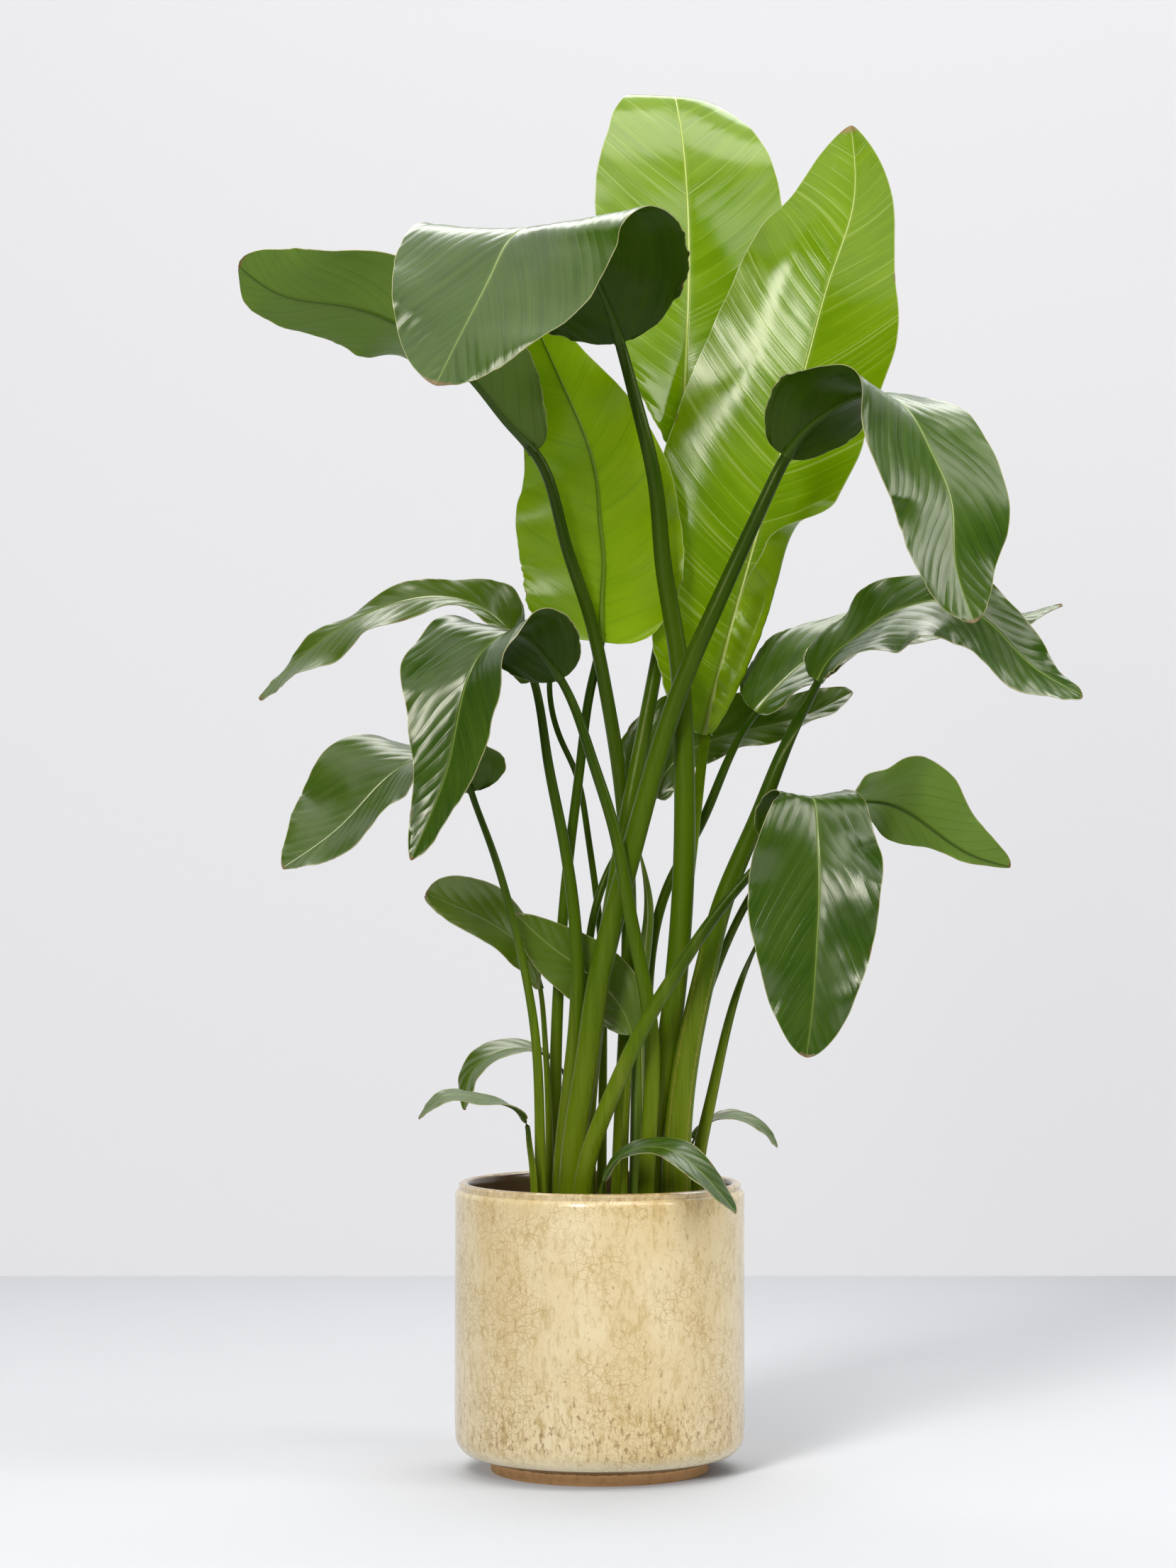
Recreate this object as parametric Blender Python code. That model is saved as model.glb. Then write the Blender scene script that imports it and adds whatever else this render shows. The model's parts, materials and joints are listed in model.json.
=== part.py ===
"""A potted bird of paradise: a glazed pot, its soil, and leaves that each are a stalk and a blade.

Metres, +Z up. The origin is the centre of the pot's foot, on the surface that it stands on.
Each leaf follows one smooth line, first along its stalk and then along the rib of its blade, so a
leaf is changed by moving the points that its line goes through.
"""

import math

import bmesh
import bpy
import numpy as np

# ---------------------------------------------------------------- driving dimensions
POT_RADIUS = 0.165
POT_HEIGHT = 0.328
OPENING_RADIUS = 0.149
FOOT_RADIUS = 0.124
FOOT_HEIGHT = 0.012
FLOOR_TOP = 0.024
POT_SIDES = 48

SOIL_TOP = 0.300
SOIL_MOUND = 0.007
GAP = 0.0003

LEAF_THICKNESS = 0.001
TIP_HALF_WIDTH = 0.0008
RIDGE_DEPTH = 1.1
RIB_START = 0.45          # the rib's share of the stalk's width, once past the blade's base
RIB_FADE = 0.05           # the share of the blade's length over which it narrows to that
STALK_SIDES = 8
STALK_STEP = 0.075

# ---------------------------------------------------------------- the leaves
# stalk: points that the line goes through from the soil up to the blade's base.
# rib: the line's further points, from the blade's base to its tip.
# face: where the upper side looks, at places spread evenly from the blade's base to its tip.
# lift: degrees that the left and the right half rise out of the flat beside the rib.
# curl: degrees that the left and the right half turn further between the rib and the edge.
# turn: where the curl begins and ends, as shares of the way from the rib to the edge.
# width: the blade's greatest half width, left and right. profile: how full its base and tip are.
# trim: what the left and the right half width are multiplied by, spread evenly in the same way.
# wave: how far the edge waves out of the surface, how many waves, and where the first begins.
# girth: the stalk's half width in the soil, half way, and at the blade.
LEAVES = {
    "leaf_01": dict(
        stalk=[(-0.020, 0.012, 0.270), (-0.016, 0.022, 0.400), (-0.002, 0.030, 0.530),
               (0.011, 0.032, 0.620), (0.024, 0.034, 0.700), (0.041, 0.044, 0.790),
               (0.061, 0.074, 0.892), (0.080, 0.100, 1.005)],
        rib=[(0.095, 0.114, 1.163), (0.102, 0.130, 1.302), (0.105, 0.148, 1.393),
             (0.103, 0.168, 1.478), (0.098, 0.194, 1.545), (0.093, 0.218, 1.583),
             (0.089, 0.247, 1.6050), (0.085, 0.285, 1.594)],
        face=[(0.15, -1, 0.1), (0.2, -1, 0.3), (0.15, -0.8, 0.8), (0.1, 0.2, 1)],
        lift=[(28, 28), (14, 14), (8, 8), (0, 0)], curl=[(-8, -8), (-5, -5), (-5, -5), (-15, -15)],
        width=(0.112, 0.110), profile=(0.75, 0.6), girth=(0.012, 0.0095, 0.0062), rows=14,
        trim=[(1, 1), (1, 1), (1, 1), (1, 1), (0.92, 0.93), (0.62, 0.68)], wave=(0.002, 2.5, 0.1)),
    "leaf_02": dict(
        stalk=[(0.070, 0.012, 0.270), (0.072, 0.014, 0.400), (0.083, 0.018, 0.520),
               (0.098, 0.026, 0.640), (0.113, 0.038, 0.769)],
        rib=[(0.1215, 0.046, 0.836), (0.141, 0.055, 0.922), (0.165, 0.062, 1.009),
             (0.198, 0.070, 1.124), (0.241, 0.080, 1.272), (0.269, 0.095, 1.371),
             (0.296, 0.118, 1.455), (0.295, 0.150, 1.552)],
        face=[(-0.3, -1, 0), (-0.3, -1, 0), (-0.3, -1, 0.2), (-0.3, -1, 0.4)],
        lift=[(35, 5), (12, 5), (8, 10), (8, 10)],
        curl=[(0, 160), (0, 175), (0, 180), (-5, 120), (-5, 15), (-5, 0), (-5, 0), (-8, 0), (-10, 0),
              (-10, 0), (-10, 0)], turn=(0.42, 0.66), columns=5,
        width=(0.128, 0.112), profile=(0.6, 0.75), girth=(0.009, 0.007, 0.006), rows=16,
        wave=(0.0015, 2.5, 0.3),
        trim=[(1, 0.9), (1, 0.9), (1, 0.70), (1, 0.83), (1, 1.05), (1.15, 0.85), (1.4, 0.8)]),
    "leaf_03": dict(
        stalk=[(0.058, -0.018, 0.270), (0.061, -0.018, 0.380), (0.078, -0.018, 0.490),
               (0.087, -0.014, 0.562), (0.096, -0.008, 0.700), (0.096, -0.006, 0.811),
               (0.088, -0.008, 0.934), (0.072, -0.014, 1.031), (0.0635, -0.018, 1.117),
               (0.046, -0.020, 1.195)],
        rib=[(0.023, -0.020, 1.280), (0.012, -0.040, 1.312), (-0.010, -0.070, 1.357),
             (-0.047, -0.115, 1.394), (-0.0895, -0.160, 1.389), (-0.1175, -0.200, 1.339),
             (-0.1435, -0.235, 1.282), (-0.177, -0.270, 1.209)],
        face=[(0.1, 0.85, 0.5), (0, 0.1, 1), (-0.1, -0.6, 0.7), (-0.2, -0.85, 0.5)],
        lift=[(15, 10), (3, -6), (5, 2), (5, 5)], curl=[(0, 0), (0, 0), (0, 0), (0, 0)],
        width=(0.140, 0.125), profile=(0.5, 0.6), girth=(0.0125, 0.0120, 0.0062), rows=15,
        trim=[(1, 1.1), (0.98, 1.32), (1, 1.12), (1, 1), (1, 1), (1, 1)], wave=(0.006, 3.5, 0.2)),
    "leaf_04": dict(
        stalk=[(0.020, 0.040, 0.270), (0.028, 0.048, 0.450), (0.034, 0.059, 0.600),
               (0.0290, 0.064, 0.735), (0.0225, 0.055, 0.793), (0.007, 0.018, 0.886),
               (-0.013, -0.004, 0.976), (-0.040, -0.012, 1.058)],
        rib=[(-0.074, -0.015, 1.156), (-0.1015, -0.020, 1.185), (-0.146, -0.030, 1.238),
             (-0.1885, -0.040, 1.273), (-0.2375, -0.050, 1.303), (-0.2985, -0.060, 1.320),
             (-0.3555, -0.065, 1.329), (-0.4085, -0.070, 1.364)],
        face=[(-0.2, 0.7, 0.6), (-0.15, 0.64, 0.77), (-0.1, 0.6, 0.8)],
        lift=[(10, 95), (10, 80), (10, 35), (8, 12), (5, 5), (5, 5)], curl=[(0, 0), (0, 0), (0, 0)],
        width=(0.088, 0.078), profile=(0.55, 0.50), girth=(0.009, 0.0085, 0.006), rows=14,
        wave=(0.004, 3.0, 0.6),
        trim=[(1, 1), (0.95, 1), (0.85, 1), (0.95, 0.9), (1.1, 0.8)]),
    "leaf_05": dict(
        stalk=[(-0.050, 0.036, 0.270), (-0.051, 0.034, 0.400), (-0.047, 0.032, 0.549),
               (-0.036, 0.030, 0.690), (-0.021, 0.025, 0.812), (-0.010, 0.022, 0.890)],
        rib=[(0.001, 0.021, 0.942), (0.003, 0.022, 0.990), (0.005, 0.023, 1.034),
             (0.001, 0.024, 1.077), (-0.003, 0.024, 1.125), (-0.012, 0.024, 1.164),
             (-0.026, 0.022, 1.200), (-0.054, 0.020, 1.262), (-0.080, 0.020, 1.322)],
        face=[(0, 1, 0.1), (0, 1, 0.1), (0, 1, 0)],
        lift=[(5, 18), (3, 14), (3, 8)], curl=[(-5, -10), (0, -5), (0, 0)],
        width=(0.089, 0.098), profile=(0.35, 0.75), girth=(0.008, 0.0062, 0.005), rows=15,
        trim=[(1.05, 1.05), (1.02, 1.0), (1, 0.98), (0.92, 0.9), (0.85, 0.85), (0.9, 0.9)],
        wave=(0.005, 4.0, 0.0)),
    "leaf_06": dict(
        stalk=[(-0.034, -0.028, 0.270), (-0.030, -0.028, 0.365), (-0.013, -0.028, 0.478),
               (-0.004, -0.028, 0.543), (0.010, -0.028, 0.607), (0.036, -0.028, 0.704),
               (0.073, -0.034, 0.835), (0.1015, -0.038, 0.914), (0.125, -0.042, 0.967),
               (0.160, -0.043, 1.044), (0.189, -0.048, 1.107)],
        rib=[(0.210, -0.050, 1.149), (0.229, -0.065, 1.175), (0.263, -0.090, 1.201),
             (0.298, -0.115, 1.214), (0.332, -0.140, 1.201), (0.363, -0.165, 1.148),
             (0.385, -0.180, 1.089), (0.388, -0.190, 1.027), (0.409, -0.200, 0.956)],
        face=[(0, 0.8, 0.55), (0, 0.1, 1), (0.35, -0.85, 0.4), (0.35, -0.85, 0.2)],
        lift=[(15, 15), (10, 10), (12, 12), (5, 5)], curl=[(0, 0), (0, 0), (0, 0), (0, 0)],
        width=(0.080, 0.080), profile=(0.5, 0.6), girth=(0.0135, 0.0120, 0.0068), rows=16,
        trim=[(1, 1.05), (1.05, 1.1), (0.84, 1.26), (0.88, 1.20), (0.95, 1.10), (1, 1)],
        wave=(0.003, 4.0, 0.4)),
    "leaf_07": dict(
        stalk=[(-0.046, -0.006, 0.270), (-0.043, -0.006, 0.350), (-0.030, -0.006, 0.478),
               (-0.0255, -0.006, 0.560), (-0.031, -0.005, 0.650), (-0.043, -0.003, 0.726),
               (-0.060, 0.000, 0.812)],
        rib=[(-0.075, 0.000, 0.897), (-0.095, 0.002, 0.942), (-0.130, 0.006, 0.978),
             (-0.180, 0.010, 0.993), (-0.240, 0.015, 0.984), (-0.300, 0.020, 0.956),
             (-0.345, 0.025, 0.921), (-0.390, 0.030, 0.877)],
        face=[(-0.3, 0.3, 0.5), (0, 0, 1), (0, 0, 1)],
        lift=[(-30, 70), (-30, 60), (-35, 40), (-30, 30)], curl=[(0, 0), (0, 0), (0, 0)],
        width=(0.040, 0.027), profile=(0.42, 0.6), girth=(0.0105, 0.0075, 0.005), rows=15,
        trim=[(0.9, 2.2), (0.7, 1.85), (0.65, 0.9), (1.2, 0.7), (1.6, 0.85), (1.4, 1.1)],
        wave=(0.006, 3.5, 0.15)),
    "leaf_08": dict(
        stalk=[(0.050, -0.046, 0.270), (0.055, -0.046, 0.380), (0.058, -0.047, 0.500),
               (0.049, -0.049, 0.560), (0.033, -0.050, 0.640), (0.017, -0.050, 0.726),
               (-0.008, -0.050, 0.806), (-0.030, -0.050, 0.870)],
        rib=[(-0.044, -0.050, 0.898), (-0.060, -0.065, 0.920), (-0.0935, -0.090, 0.949),
             (-0.128, -0.115, 0.930), (-0.154, -0.135, 0.8695), (-0.168, -0.150, 0.798),
             (-0.1845, -0.158, 0.751), (-0.208, -0.165, 0.696)],
        face=[(0.2, 0.85, 0.5), (0, 0.1, 1), (-0.3, -0.85, 0.4), (-0.3, -0.85, 0.2)],
        lift=[(10, 10), (6, 30), (20, 22), (15, 15)], curl=[(0, 0), (0, 0), (0, 0), (0, 0)],
        width=(0.064, 0.076), profile=(0.42, 0.75), girth=(0.0095, 0.0080, 0.0050), rows=14,
        trim=[(0.9, 1.1), (0.93, 1.15), (1.02, 1.08), (0.88, 0.78), (0.87, 0.64), (0.95, 0.65)],
        wave=(0.0035, 3.0, 0.7)),
    "leaf_09": dict(
        stalk=[(-0.067, -0.032, 0.270), (-0.068, -0.032, 0.400), (-0.074, -0.032, 0.504),
               (-0.089, -0.032, 0.588), (-0.106, -0.031, 0.656), (-0.125, -0.030, 0.716)],
        rib=[(-0.145, -0.030, 0.771), (-0.158, -0.040, 0.799), (-0.183, -0.050, 0.812),
             (-0.206, -0.060, 0.808), (-0.2475, -0.070, 0.779), (-0.2865, -0.085, 0.736),
             (-0.324, -0.095, 0.706), (-0.354, -0.100, 0.686)],
        face=[(0, 0.3, 1), (-0.2, -0.7, 0.7), (-0.2, -0.75, 0.6)],
        lift=[(10, 0), (30, 0), (20, 0)], curl=[(0, 0), (0, 0), (0, 0)],
        width=(0.074, 0.096), profile=(0.42, 0.7), girth=(0.007, 0.0050, 0.0042), rows=13,
        trim=[(1, 1), (1.08, 0.85), (1.12, 0.96), (1.05, 1.03), (1, 1)], wave=(0.0045, 3.0, 0.35)),
    "leaf_10": dict(
        stalk=[(0.088, -0.030, 0.270), (0.089, -0.030, 0.390), (0.103, -0.030, 0.494),
               (0.120, -0.031, 0.570), (0.139, -0.032, 0.645), (0.176, -0.034, 0.736),
               (0.217, -0.035, 0.839)],
        rib=[(0.2455, -0.035, 0.8965), (0.258, -0.040, 0.919), (0.290, -0.050, 0.947),
             (0.3225, -0.060, 0.970), (0.3515, -0.070, 0.981), (0.380, -0.080, 0.985),
             (0.4405, -0.090, 0.956), (0.4750, -0.097, 0.918), (0.5415, -0.105, 0.877)],
        face=[(-0.3, -0.4, 0.8), (-0.1, -0.7, 0.7), (0.1, -0.7, 0.7)],
        lift=[(15, 15), (10, 10), (5, 5)], curl=[(0, 0), (0, 0), (0, 0)],
        width=(0.050, 0.070), profile=(0.38, 0.7), girth=(0.0165, 0.0125, 0.0060), rows=16,
        trim=[(1.3, 1.1), (0.95, 1.12), (0.88, 1.28), (0.9, 0.88), (0.9, 1.05), (0.9, 1.25)],
        wave=(0.006, 4.0, 0.1)),
    "leaf_11": dict(
        stalk=[(0.056, 0.042, 0.270), (0.056, 0.042, 0.400), (0.056, 0.046, 0.550),
               (0.082, 0.050, 0.670), (0.116, 0.050, 0.733), (0.156, 0.030, 0.827)],
        rib=[(0.178, 0.020, 0.8625), (0.202, 0.024, 0.890), (0.252, 0.030, 0.932),
             (0.312, 0.035, 0.957), (0.382, 0.040, 0.962), (0.453, 0.045, 0.965),
             (0.532, 0.050, 0.986)],
        face=[(-0.3, -0.6, 0.7), (0, -0.45, 1), (0, -0.5, 0.9)],
        lift=[(10, 10), (0, 0), (-12, 0)], curl=[(0, 0), (0, 0), (0, 0)],
        width=(0.062, 0.048), profile=(0.38, 0.8), girth=(0.007, 0.0060, 0.0050), rows=13,
        wave=(0.005, 3.5, 0.55)),
    "leaf_12": dict(
        stalk=[(-0.010, 0.056, 0.270), (-0.012, 0.060, 0.450), (-0.011, 0.068, 0.604),
               (0.013, 0.085, 0.6845)],
        rib=[(0.063, 0.120, 0.765), (0.084, 0.124, 0.802), (0.127, 0.129, 0.830),
             (0.185, 0.134, 0.846), (0.2415, 0.139, 0.861), (0.2965, 0.144, 0.888)],
        face=[(0, -1, 0.3), (0, -0.9, 0.5), (0, -0.6, 0.8)],
        lift=[(10, 10), (10, 10), (10, 10)], curl=[(0, 0), (0, 0), (0, 0)],
        width=(0.062, 0.024), profile=(0.30, 0.40), girth=(0.006, 0.0050, 0.0042), rows=13,
        trim=[(1.3, 1), (1.15, 1), (0.72, 1.05), (0.60, 1), (0.6, 1)], wave=(0.005, 3.5, 0.25)),
    "leaf_13": dict(
        stalk=[(-0.024, -0.060, 0.270), (-0.014, -0.066, 0.3555), (0.0115, -0.074, 0.4265),
               (0.049, -0.078, 0.508), (0.091, -0.080, 0.577), (0.146, -0.080, 0.654)],
        rib=[(0.192, -0.080, 0.7115), (0.211, -0.090, 0.745), (0.2345, -0.108, 0.766),
             (0.241, -0.125, 0.729), (0.2425, -0.135, 0.6885), (0.242, -0.143, 0.649),
             (0.2395, -0.150, 0.609), (0.2355, -0.158, 0.549), (0.227, -0.165, 0.479)],
        face=[(-0.3, 0.6, 0.6), (0, -0.8, 0.6), (0, -1, 0.2), (0, -1, 0.2)],
        lift=[(-35, 25), (-20, 32), (8, 10), (8, 8), (5, 5)], curl=[(0, 0), (0, 0), (0, 0)],
        width=(0.070, 0.077), profile=(0.45, 0.6), girth=(0.0110, 0.0085, 0.0050), rows=15,
        trim=[(0.9, 0.7), (0.9, 0.68), (0.98, 1.0), (0.96, 1.04), (0.95, 1.0), (0.98, 0.95)],
        wave=(0.004, 3.5, 0.45)),
    "leaf_14": dict(
        stalk=[(0.085, 0.040, 0.270), (0.098, 0.034, 0.450), (0.132, 0.020, 0.565),
               (0.171, 0.002, 0.651), (0.210, -0.012, 0.705)],
        rib=[(0.246, -0.014, 0.738), (0.278, -0.010, 0.756), (0.308, -0.006, 0.7605),
             (0.347, -0.004, 0.750), (0.384, -0.006, 0.7245), (0.424, -0.010, 0.699),
             (0.4663, -0.014, 0.686)],
        face=[(-0.4, -0.6, 0.7), (-0.6, 0.2, 0.8), (0.2, 0.8, 0.5), (0.3, 0.9, 0.3), (0.3, 0.9, 0.3)],
        lift=[(5, 10), (0, 5), (8, 5), (5, 0)], curl=[(0, 0), (0, 0), (0, 0)],
        width=(0.042, 0.070), profile=(0.40, 0.6), girth=(0.006, 0.0050, 0.0042), rows=13,
        trim=[(1, 0.8), (1.1, 1.25), (1.05, 0.98), (0.35, 0.72), (0.3, 0.8)], wave=(0.003, 3.0, 0.5)),
    "leaf_15": dict(
        stalk=[(-0.058, 0.008, 0.270), (-0.058, 0.016, 0.397), (-0.063, 0.030, 0.494)],
        rib=[(-0.068, 0.036, 0.545), (-0.078, 0.037, 0.578), (-0.104, 0.036, 0.606),
             (-0.137, 0.034, 0.627), (-0.170, 0.030, 0.642), (-0.199, 0.024, 0.655)],
        face=[(-0.4, -0.6, 0.5), (-0.2, -0.7, 0.6), (0.1, -0.7, 0.7)],
        lift=[(10, 25), (10, 25), (10, 35)], curl=[(0, 20), (0, 20), (10, 30)],
        width=(0.027, 0.040), profile=(0.6, 0.45), girth=(0.0062, 0.0040, 0.0030), rows=9,
        trim=[(0.8, 0.3), (1, 0.75), (1.1, 1), (1.5, 1.1)], wave=(0.002, 2.0, 0.3)),
    "leaf_16": dict(
        stalk=[(0.027, -0.004, 0.270), (0.029, -0.003, 0.380), (0.034, 0.000, 0.460)],
        rib=[(0.036, 0.006, 0.494), (0.020, 0.012, 0.532), (-0.010, 0.015, 0.562),
             (-0.050, 0.015, 0.590), (-0.095, 0.012, 0.631)],
        face=[(-0.2, -1, 0.2), (0, -1, 0.2), (0, -1, 0.2)],
        lift=[(5, 5), (3, 3), (3, 3)], curl=[(0, 0), (0, 0), (0, 0)],
        width=(0.036, 0.036), profile=(0.5, 0.7), girth=(0.005, 0.0040, 0.0030), rows=8),
    "leaf_17": dict(
        stalk=[(-0.030, 0.074, 0.270), (-0.034, 0.074, 0.400)],
        rib=[(-0.048, 0.072, 0.458), (-0.080, 0.066, 0.474), (-0.118, 0.060, 0.470),
             (-0.147, 0.055, 0.447), (-0.155, 0.052, 0.405)],
        face=[(0, 0, 1), (-0.1, -0.3, 0.9), (-0.6, -0.4, 0.5)],
        lift=[(10, 10), (10, 10), (5, 5)], curl=[(0, 0), (0, 0), (0, 0)],
        width=(0.026, 0.026), profile=(0.5, 0.7), girth=(0.0045, 0.0036, 0.0028), rows=8),
    "leaf_18": dict(
        stalk=[(-0.074, -0.054, 0.270), (-0.0765, -0.055, 0.355), (-0.080, -0.055, 0.381)],
        rib=[(-0.084, -0.056, 0.402), (-0.100, -0.060, 0.418), (-0.130, -0.066, 0.425),
             (-0.170, -0.072, 0.430), (-0.203, -0.078, 0.405)],
        face=[(-0.3, 0, 1), (-0.1, -0.2, 1), (-0.5, -0.2, 0.7)],
        lift=[(5, 5), (0, 5), (0, 5)], curl=[(0, 0), (0, 0), (0, 0)],
        width=(0.024, 0.024), profile=(0.6, 0.6), girth=(0.0050, 0.0040, 0.0028), rows=8),
    "leaf_19": dict(
        stalk=[(-0.003, -0.086, 0.270), (-0.002, -0.088, 0.312)],
        rib=[(0.0036, -0.090, 0.336), (0.018, -0.095, 0.360), (0.045, -0.105, 0.374),
             (0.075, -0.116, 0.374), (0.107, -0.130, 0.354), (0.150, -0.150, 0.306)],
        face=[(-0.3, -0.3, 0.8), (0, -0.3, 1), (0.3, -0.3, 0.8)],
        lift=[(5, 5), (5, 5), (5, 5)], curl=[(0, 0), (0, 0), (0, 0)],
        width=(0.025, 0.025), profile=(0.6, 0.6), girth=(0.0040, 0.0032, 0.0026), rows=8),
    "leaf_20": dict(
        stalk=[(0.098, 0.052, 0.270), (0.100, 0.052, 0.335)],
        rib=[(0.108, 0.052, 0.372), (0.130, 0.050, 0.394), (0.158, 0.048, 0.398),
             (0.184, 0.046, 0.387), (0.204, 0.044, 0.363)],
        face=[(-0.4, 0, 0.8), (0, -0.2, 1), (0.4, -0.2, 0.7)],
        lift=[(5, 5), (5, 5), (5, 5)], curl=[(0, 0), (0, 0), (0, 0)],
        width=(0.018, 0.018), profile=(0.6, 0.6), girth=(0.0040, 0.0032, 0.0024), rows=8),
    "leaf_21": dict(
        stalk=[(0.106, 0.014, 0.270), (0.114, 0.014, 0.360), (0.124, 0.014, 0.407),
               (0.145, 0.014, 0.500), (0.166, 0.012, 0.570)],
        rib=[(0.180, 0.008, 0.604), (0.205, 0.000, 0.650), (0.235, -0.008, 0.672),
             (0.268, -0.016, 0.660), (0.292, -0.024, 0.610)],
        face=[(-0.4, 0, 0.8), (0, -0.3, 1), (0.6, -0.4, 0.6)],
        lift=[(5, 5), (5, 5), (5, 5)], curl=[(0, 0), (0, 0), (0, 0)],
        width=(0.030, 0.030), profile=(0.5, 0.7), girth=(0.0100, 0.0062, 0.0040), rows=8),
    "leaf_22": dict(
        stalk=[(0.002, 0.074, 0.270), (0.004, 0.080, 0.450), (0.000, 0.086, 0.618),
               (-0.015, 0.092, 0.732), (-0.029, 0.098, 0.797), (-0.045, 0.104, 0.832)],
        rib=[(-0.058, 0.110, 0.905), (-0.050, 0.125, 0.950), (-0.038, 0.155, 1.000),
             (-0.025, 0.200, 1.045), (-0.005, 0.255, 1.060), (0.010, 0.310, 1.035)],
        face=[(-0.4, -0.8, 0.3), (0, -0.3, 1), (0, 0.2, 1)],
        lift=[(10, 10), (10, 10), (5, 5)], curl=[(0, 0), (0, 0), (0, 0)],
        width=(0.034, 0.034), profile=(0.5, 0.7), girth=(0.0060, 0.0042, 0.0034), rows=10),
}

# The young leaf that is still rolled round itself, as one spindle.
SPEAR_LINE = [(0.040, 0.012, 0.270), (0.043, 0.018, 0.450), (0.050, 0.024, 0.580),
              (0.056, 0.026, 0.640), (0.045, 0.028, 0.706)]
SPEAR_RADII = [0.0080, 0.0080, 0.0085, 0.0060, 0.0010]

MATERIALS = {
    "cream_glaze": ((0.80, 0.72, 0.52), 0.25),
    "dark_soil": ((0.06, 0.05, 0.045), 0.95),
    "green_leaf": ((0.05, 0.16, 0.03), 0.35),
    "young_leaf": ((0.20, 0.42, 0.05), 0.35),
    "green_stalk": ((0.12, 0.24, 0.05), 0.45),
}
YOUNG_LEAVES = ("leaf_01", "leaf_02", "leaf_05")


# ---------------------------------------------------------------- shared helpers
def clear_scene():
    for item in list(bpy.data.objects):
        bpy.data.objects.remove(item, do_unlink=True)


def give_material(obj, slot):
    colour, roughness = MATERIALS[slot]
    material = bpy.data.materials.get(slot)
    if material is None:
        material = bpy.data.materials.new(slot)
        material.use_nodes = True
        shader = material.node_tree.nodes["Principled BSDF"]
        shader.inputs["Base Color"].default_value = (*colour, 1.0)
        shader.inputs["Roughness"].default_value = roughness
        shader.inputs["Metallic"].default_value = 0.0
    obj.data.materials.clear()
    obj.data.materials.append(material)


def make_object(name, vertices, faces, slot):
    mesh = bpy.data.meshes.new(name)
    mesh.from_pydata([tuple(float(v) for v in p) for p in vertices], [], faces)
    bm = bmesh.new()
    bm.from_mesh(mesh)
    bmesh.ops.recalc_face_normals(bm, faces=bm.faces)
    bm.to_mesh(mesh)
    bm.free()
    mesh.update()
    obj = bpy.data.objects.new(name, mesh)
    bpy.context.collection.objects.link(obj)
    give_material(obj, slot)
    return obj


def lathe(profile, sides):
    """Turn a profile of (radius, height) about Z. The profile starts and ends on the axis."""
    vertices = []
    rings = []
    for radius, height in profile:
        if radius == 0.0:
            rings.append([len(vertices)])
            vertices.append((0.0, 0.0, height))
            continue
        ring = []
        for k in range(sides):
            angle = 2.0 * math.pi * k / sides
            ring.append(len(vertices))
            vertices.append((radius * math.cos(angle), radius * math.sin(angle), height))
        rings.append(ring)
    faces = []
    for low, high in zip(rings[:-1], rings[1:]):
        for k in range(sides):
            n = (k + 1) % sides
            if len(low) == 1:
                faces.append((low[0], high[n], high[k]))
            elif len(high) == 1:
                faces.append((low[k], low[n], high[0]))
            else:
                faces.append((low[k], low[n], high[n], high[k]))
    return vertices, faces


def unit(vector):
    vector = np.asarray(vector, dtype=float)
    return vector / np.linalg.norm(vector)


class SmoothLine:
    """A natural cubic spline through points, measured by the length of its chords."""

    def __init__(self, points):
        self.points = np.asarray(points, dtype=float)
        chords = np.linalg.norm(np.diff(self.points, axis=0), axis=1)
        self.knots = np.concatenate([[0.0], np.cumsum(chords)])
        count = len(self.points)
        matrix = np.zeros((count, count))
        right = np.zeros_like(self.points)
        matrix[0, 0] = 1.0
        matrix[-1, -1] = 1.0
        slope = np.diff(self.points, axis=0) / chords[:, None]
        for i in range(1, count - 1):
            matrix[i, i - 1] = chords[i - 1]
            matrix[i, i] = 2.0 * (chords[i - 1] + chords[i])
            matrix[i, i + 1] = chords[i]
            right[i] = 6.0 * (slope[i] - slope[i - 1])
        self.bend = np.linalg.solve(matrix, right)

    def at(self, s):
        i = int(np.clip(np.searchsorted(self.knots, s) - 1, 0, len(self.knots) - 2))
        h = self.knots[i + 1] - self.knots[i]
        a = self.knots[i + 1] - s
        b = s - self.knots[i]
        m0 = self.bend[i]
        m1 = self.bend[i + 1]
        p0 = self.points[i]
        p1 = self.points[i + 1]
        place = m0 * a**3 / (6 * h) + m1 * b**3 / (6 * h)
        place = place + (p0 / h - m0 * h / 6) * a + (p1 / h - m1 * h / 6) * b
        return place

    def along(self, s):
        step = 1e-4
        return unit(self.at(s + step) - self.at(s - step))


def spread(values, t):
    """Read a list of numbers or vectors as a smooth run over t from 0 to 1."""
    values = np.asarray(values, dtype=float)
    if len(values) == 1:
        return values[0]
    place = min(max(t, 0.0), 1.0) * (len(values) - 1)
    i = min(int(place), len(values) - 2)
    part = place - i
    part = part * part * (3.0 - 2.0 * part)
    return values[i] * (1.0 - part) + values[i + 1] * part


def frame_at(line, s, facing):
    """The line's place and direction, its upper side and its right hand side at s."""
    ahead = line.along(s)
    up = np.asarray(facing, dtype=float)
    up = unit(up - ahead * float(np.dot(up, ahead)))
    return line.at(s), ahead, up, np.cross(ahead, up)


# ---------------------------------------------------------------- leaf geometry
def leaf_line(leaf):
    line = SmoothLine(leaf["stalk"] + leaf["rib"])
    base = line.knots[len(leaf["stalk"])]
    return line, base, line.knots[-1]


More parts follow.
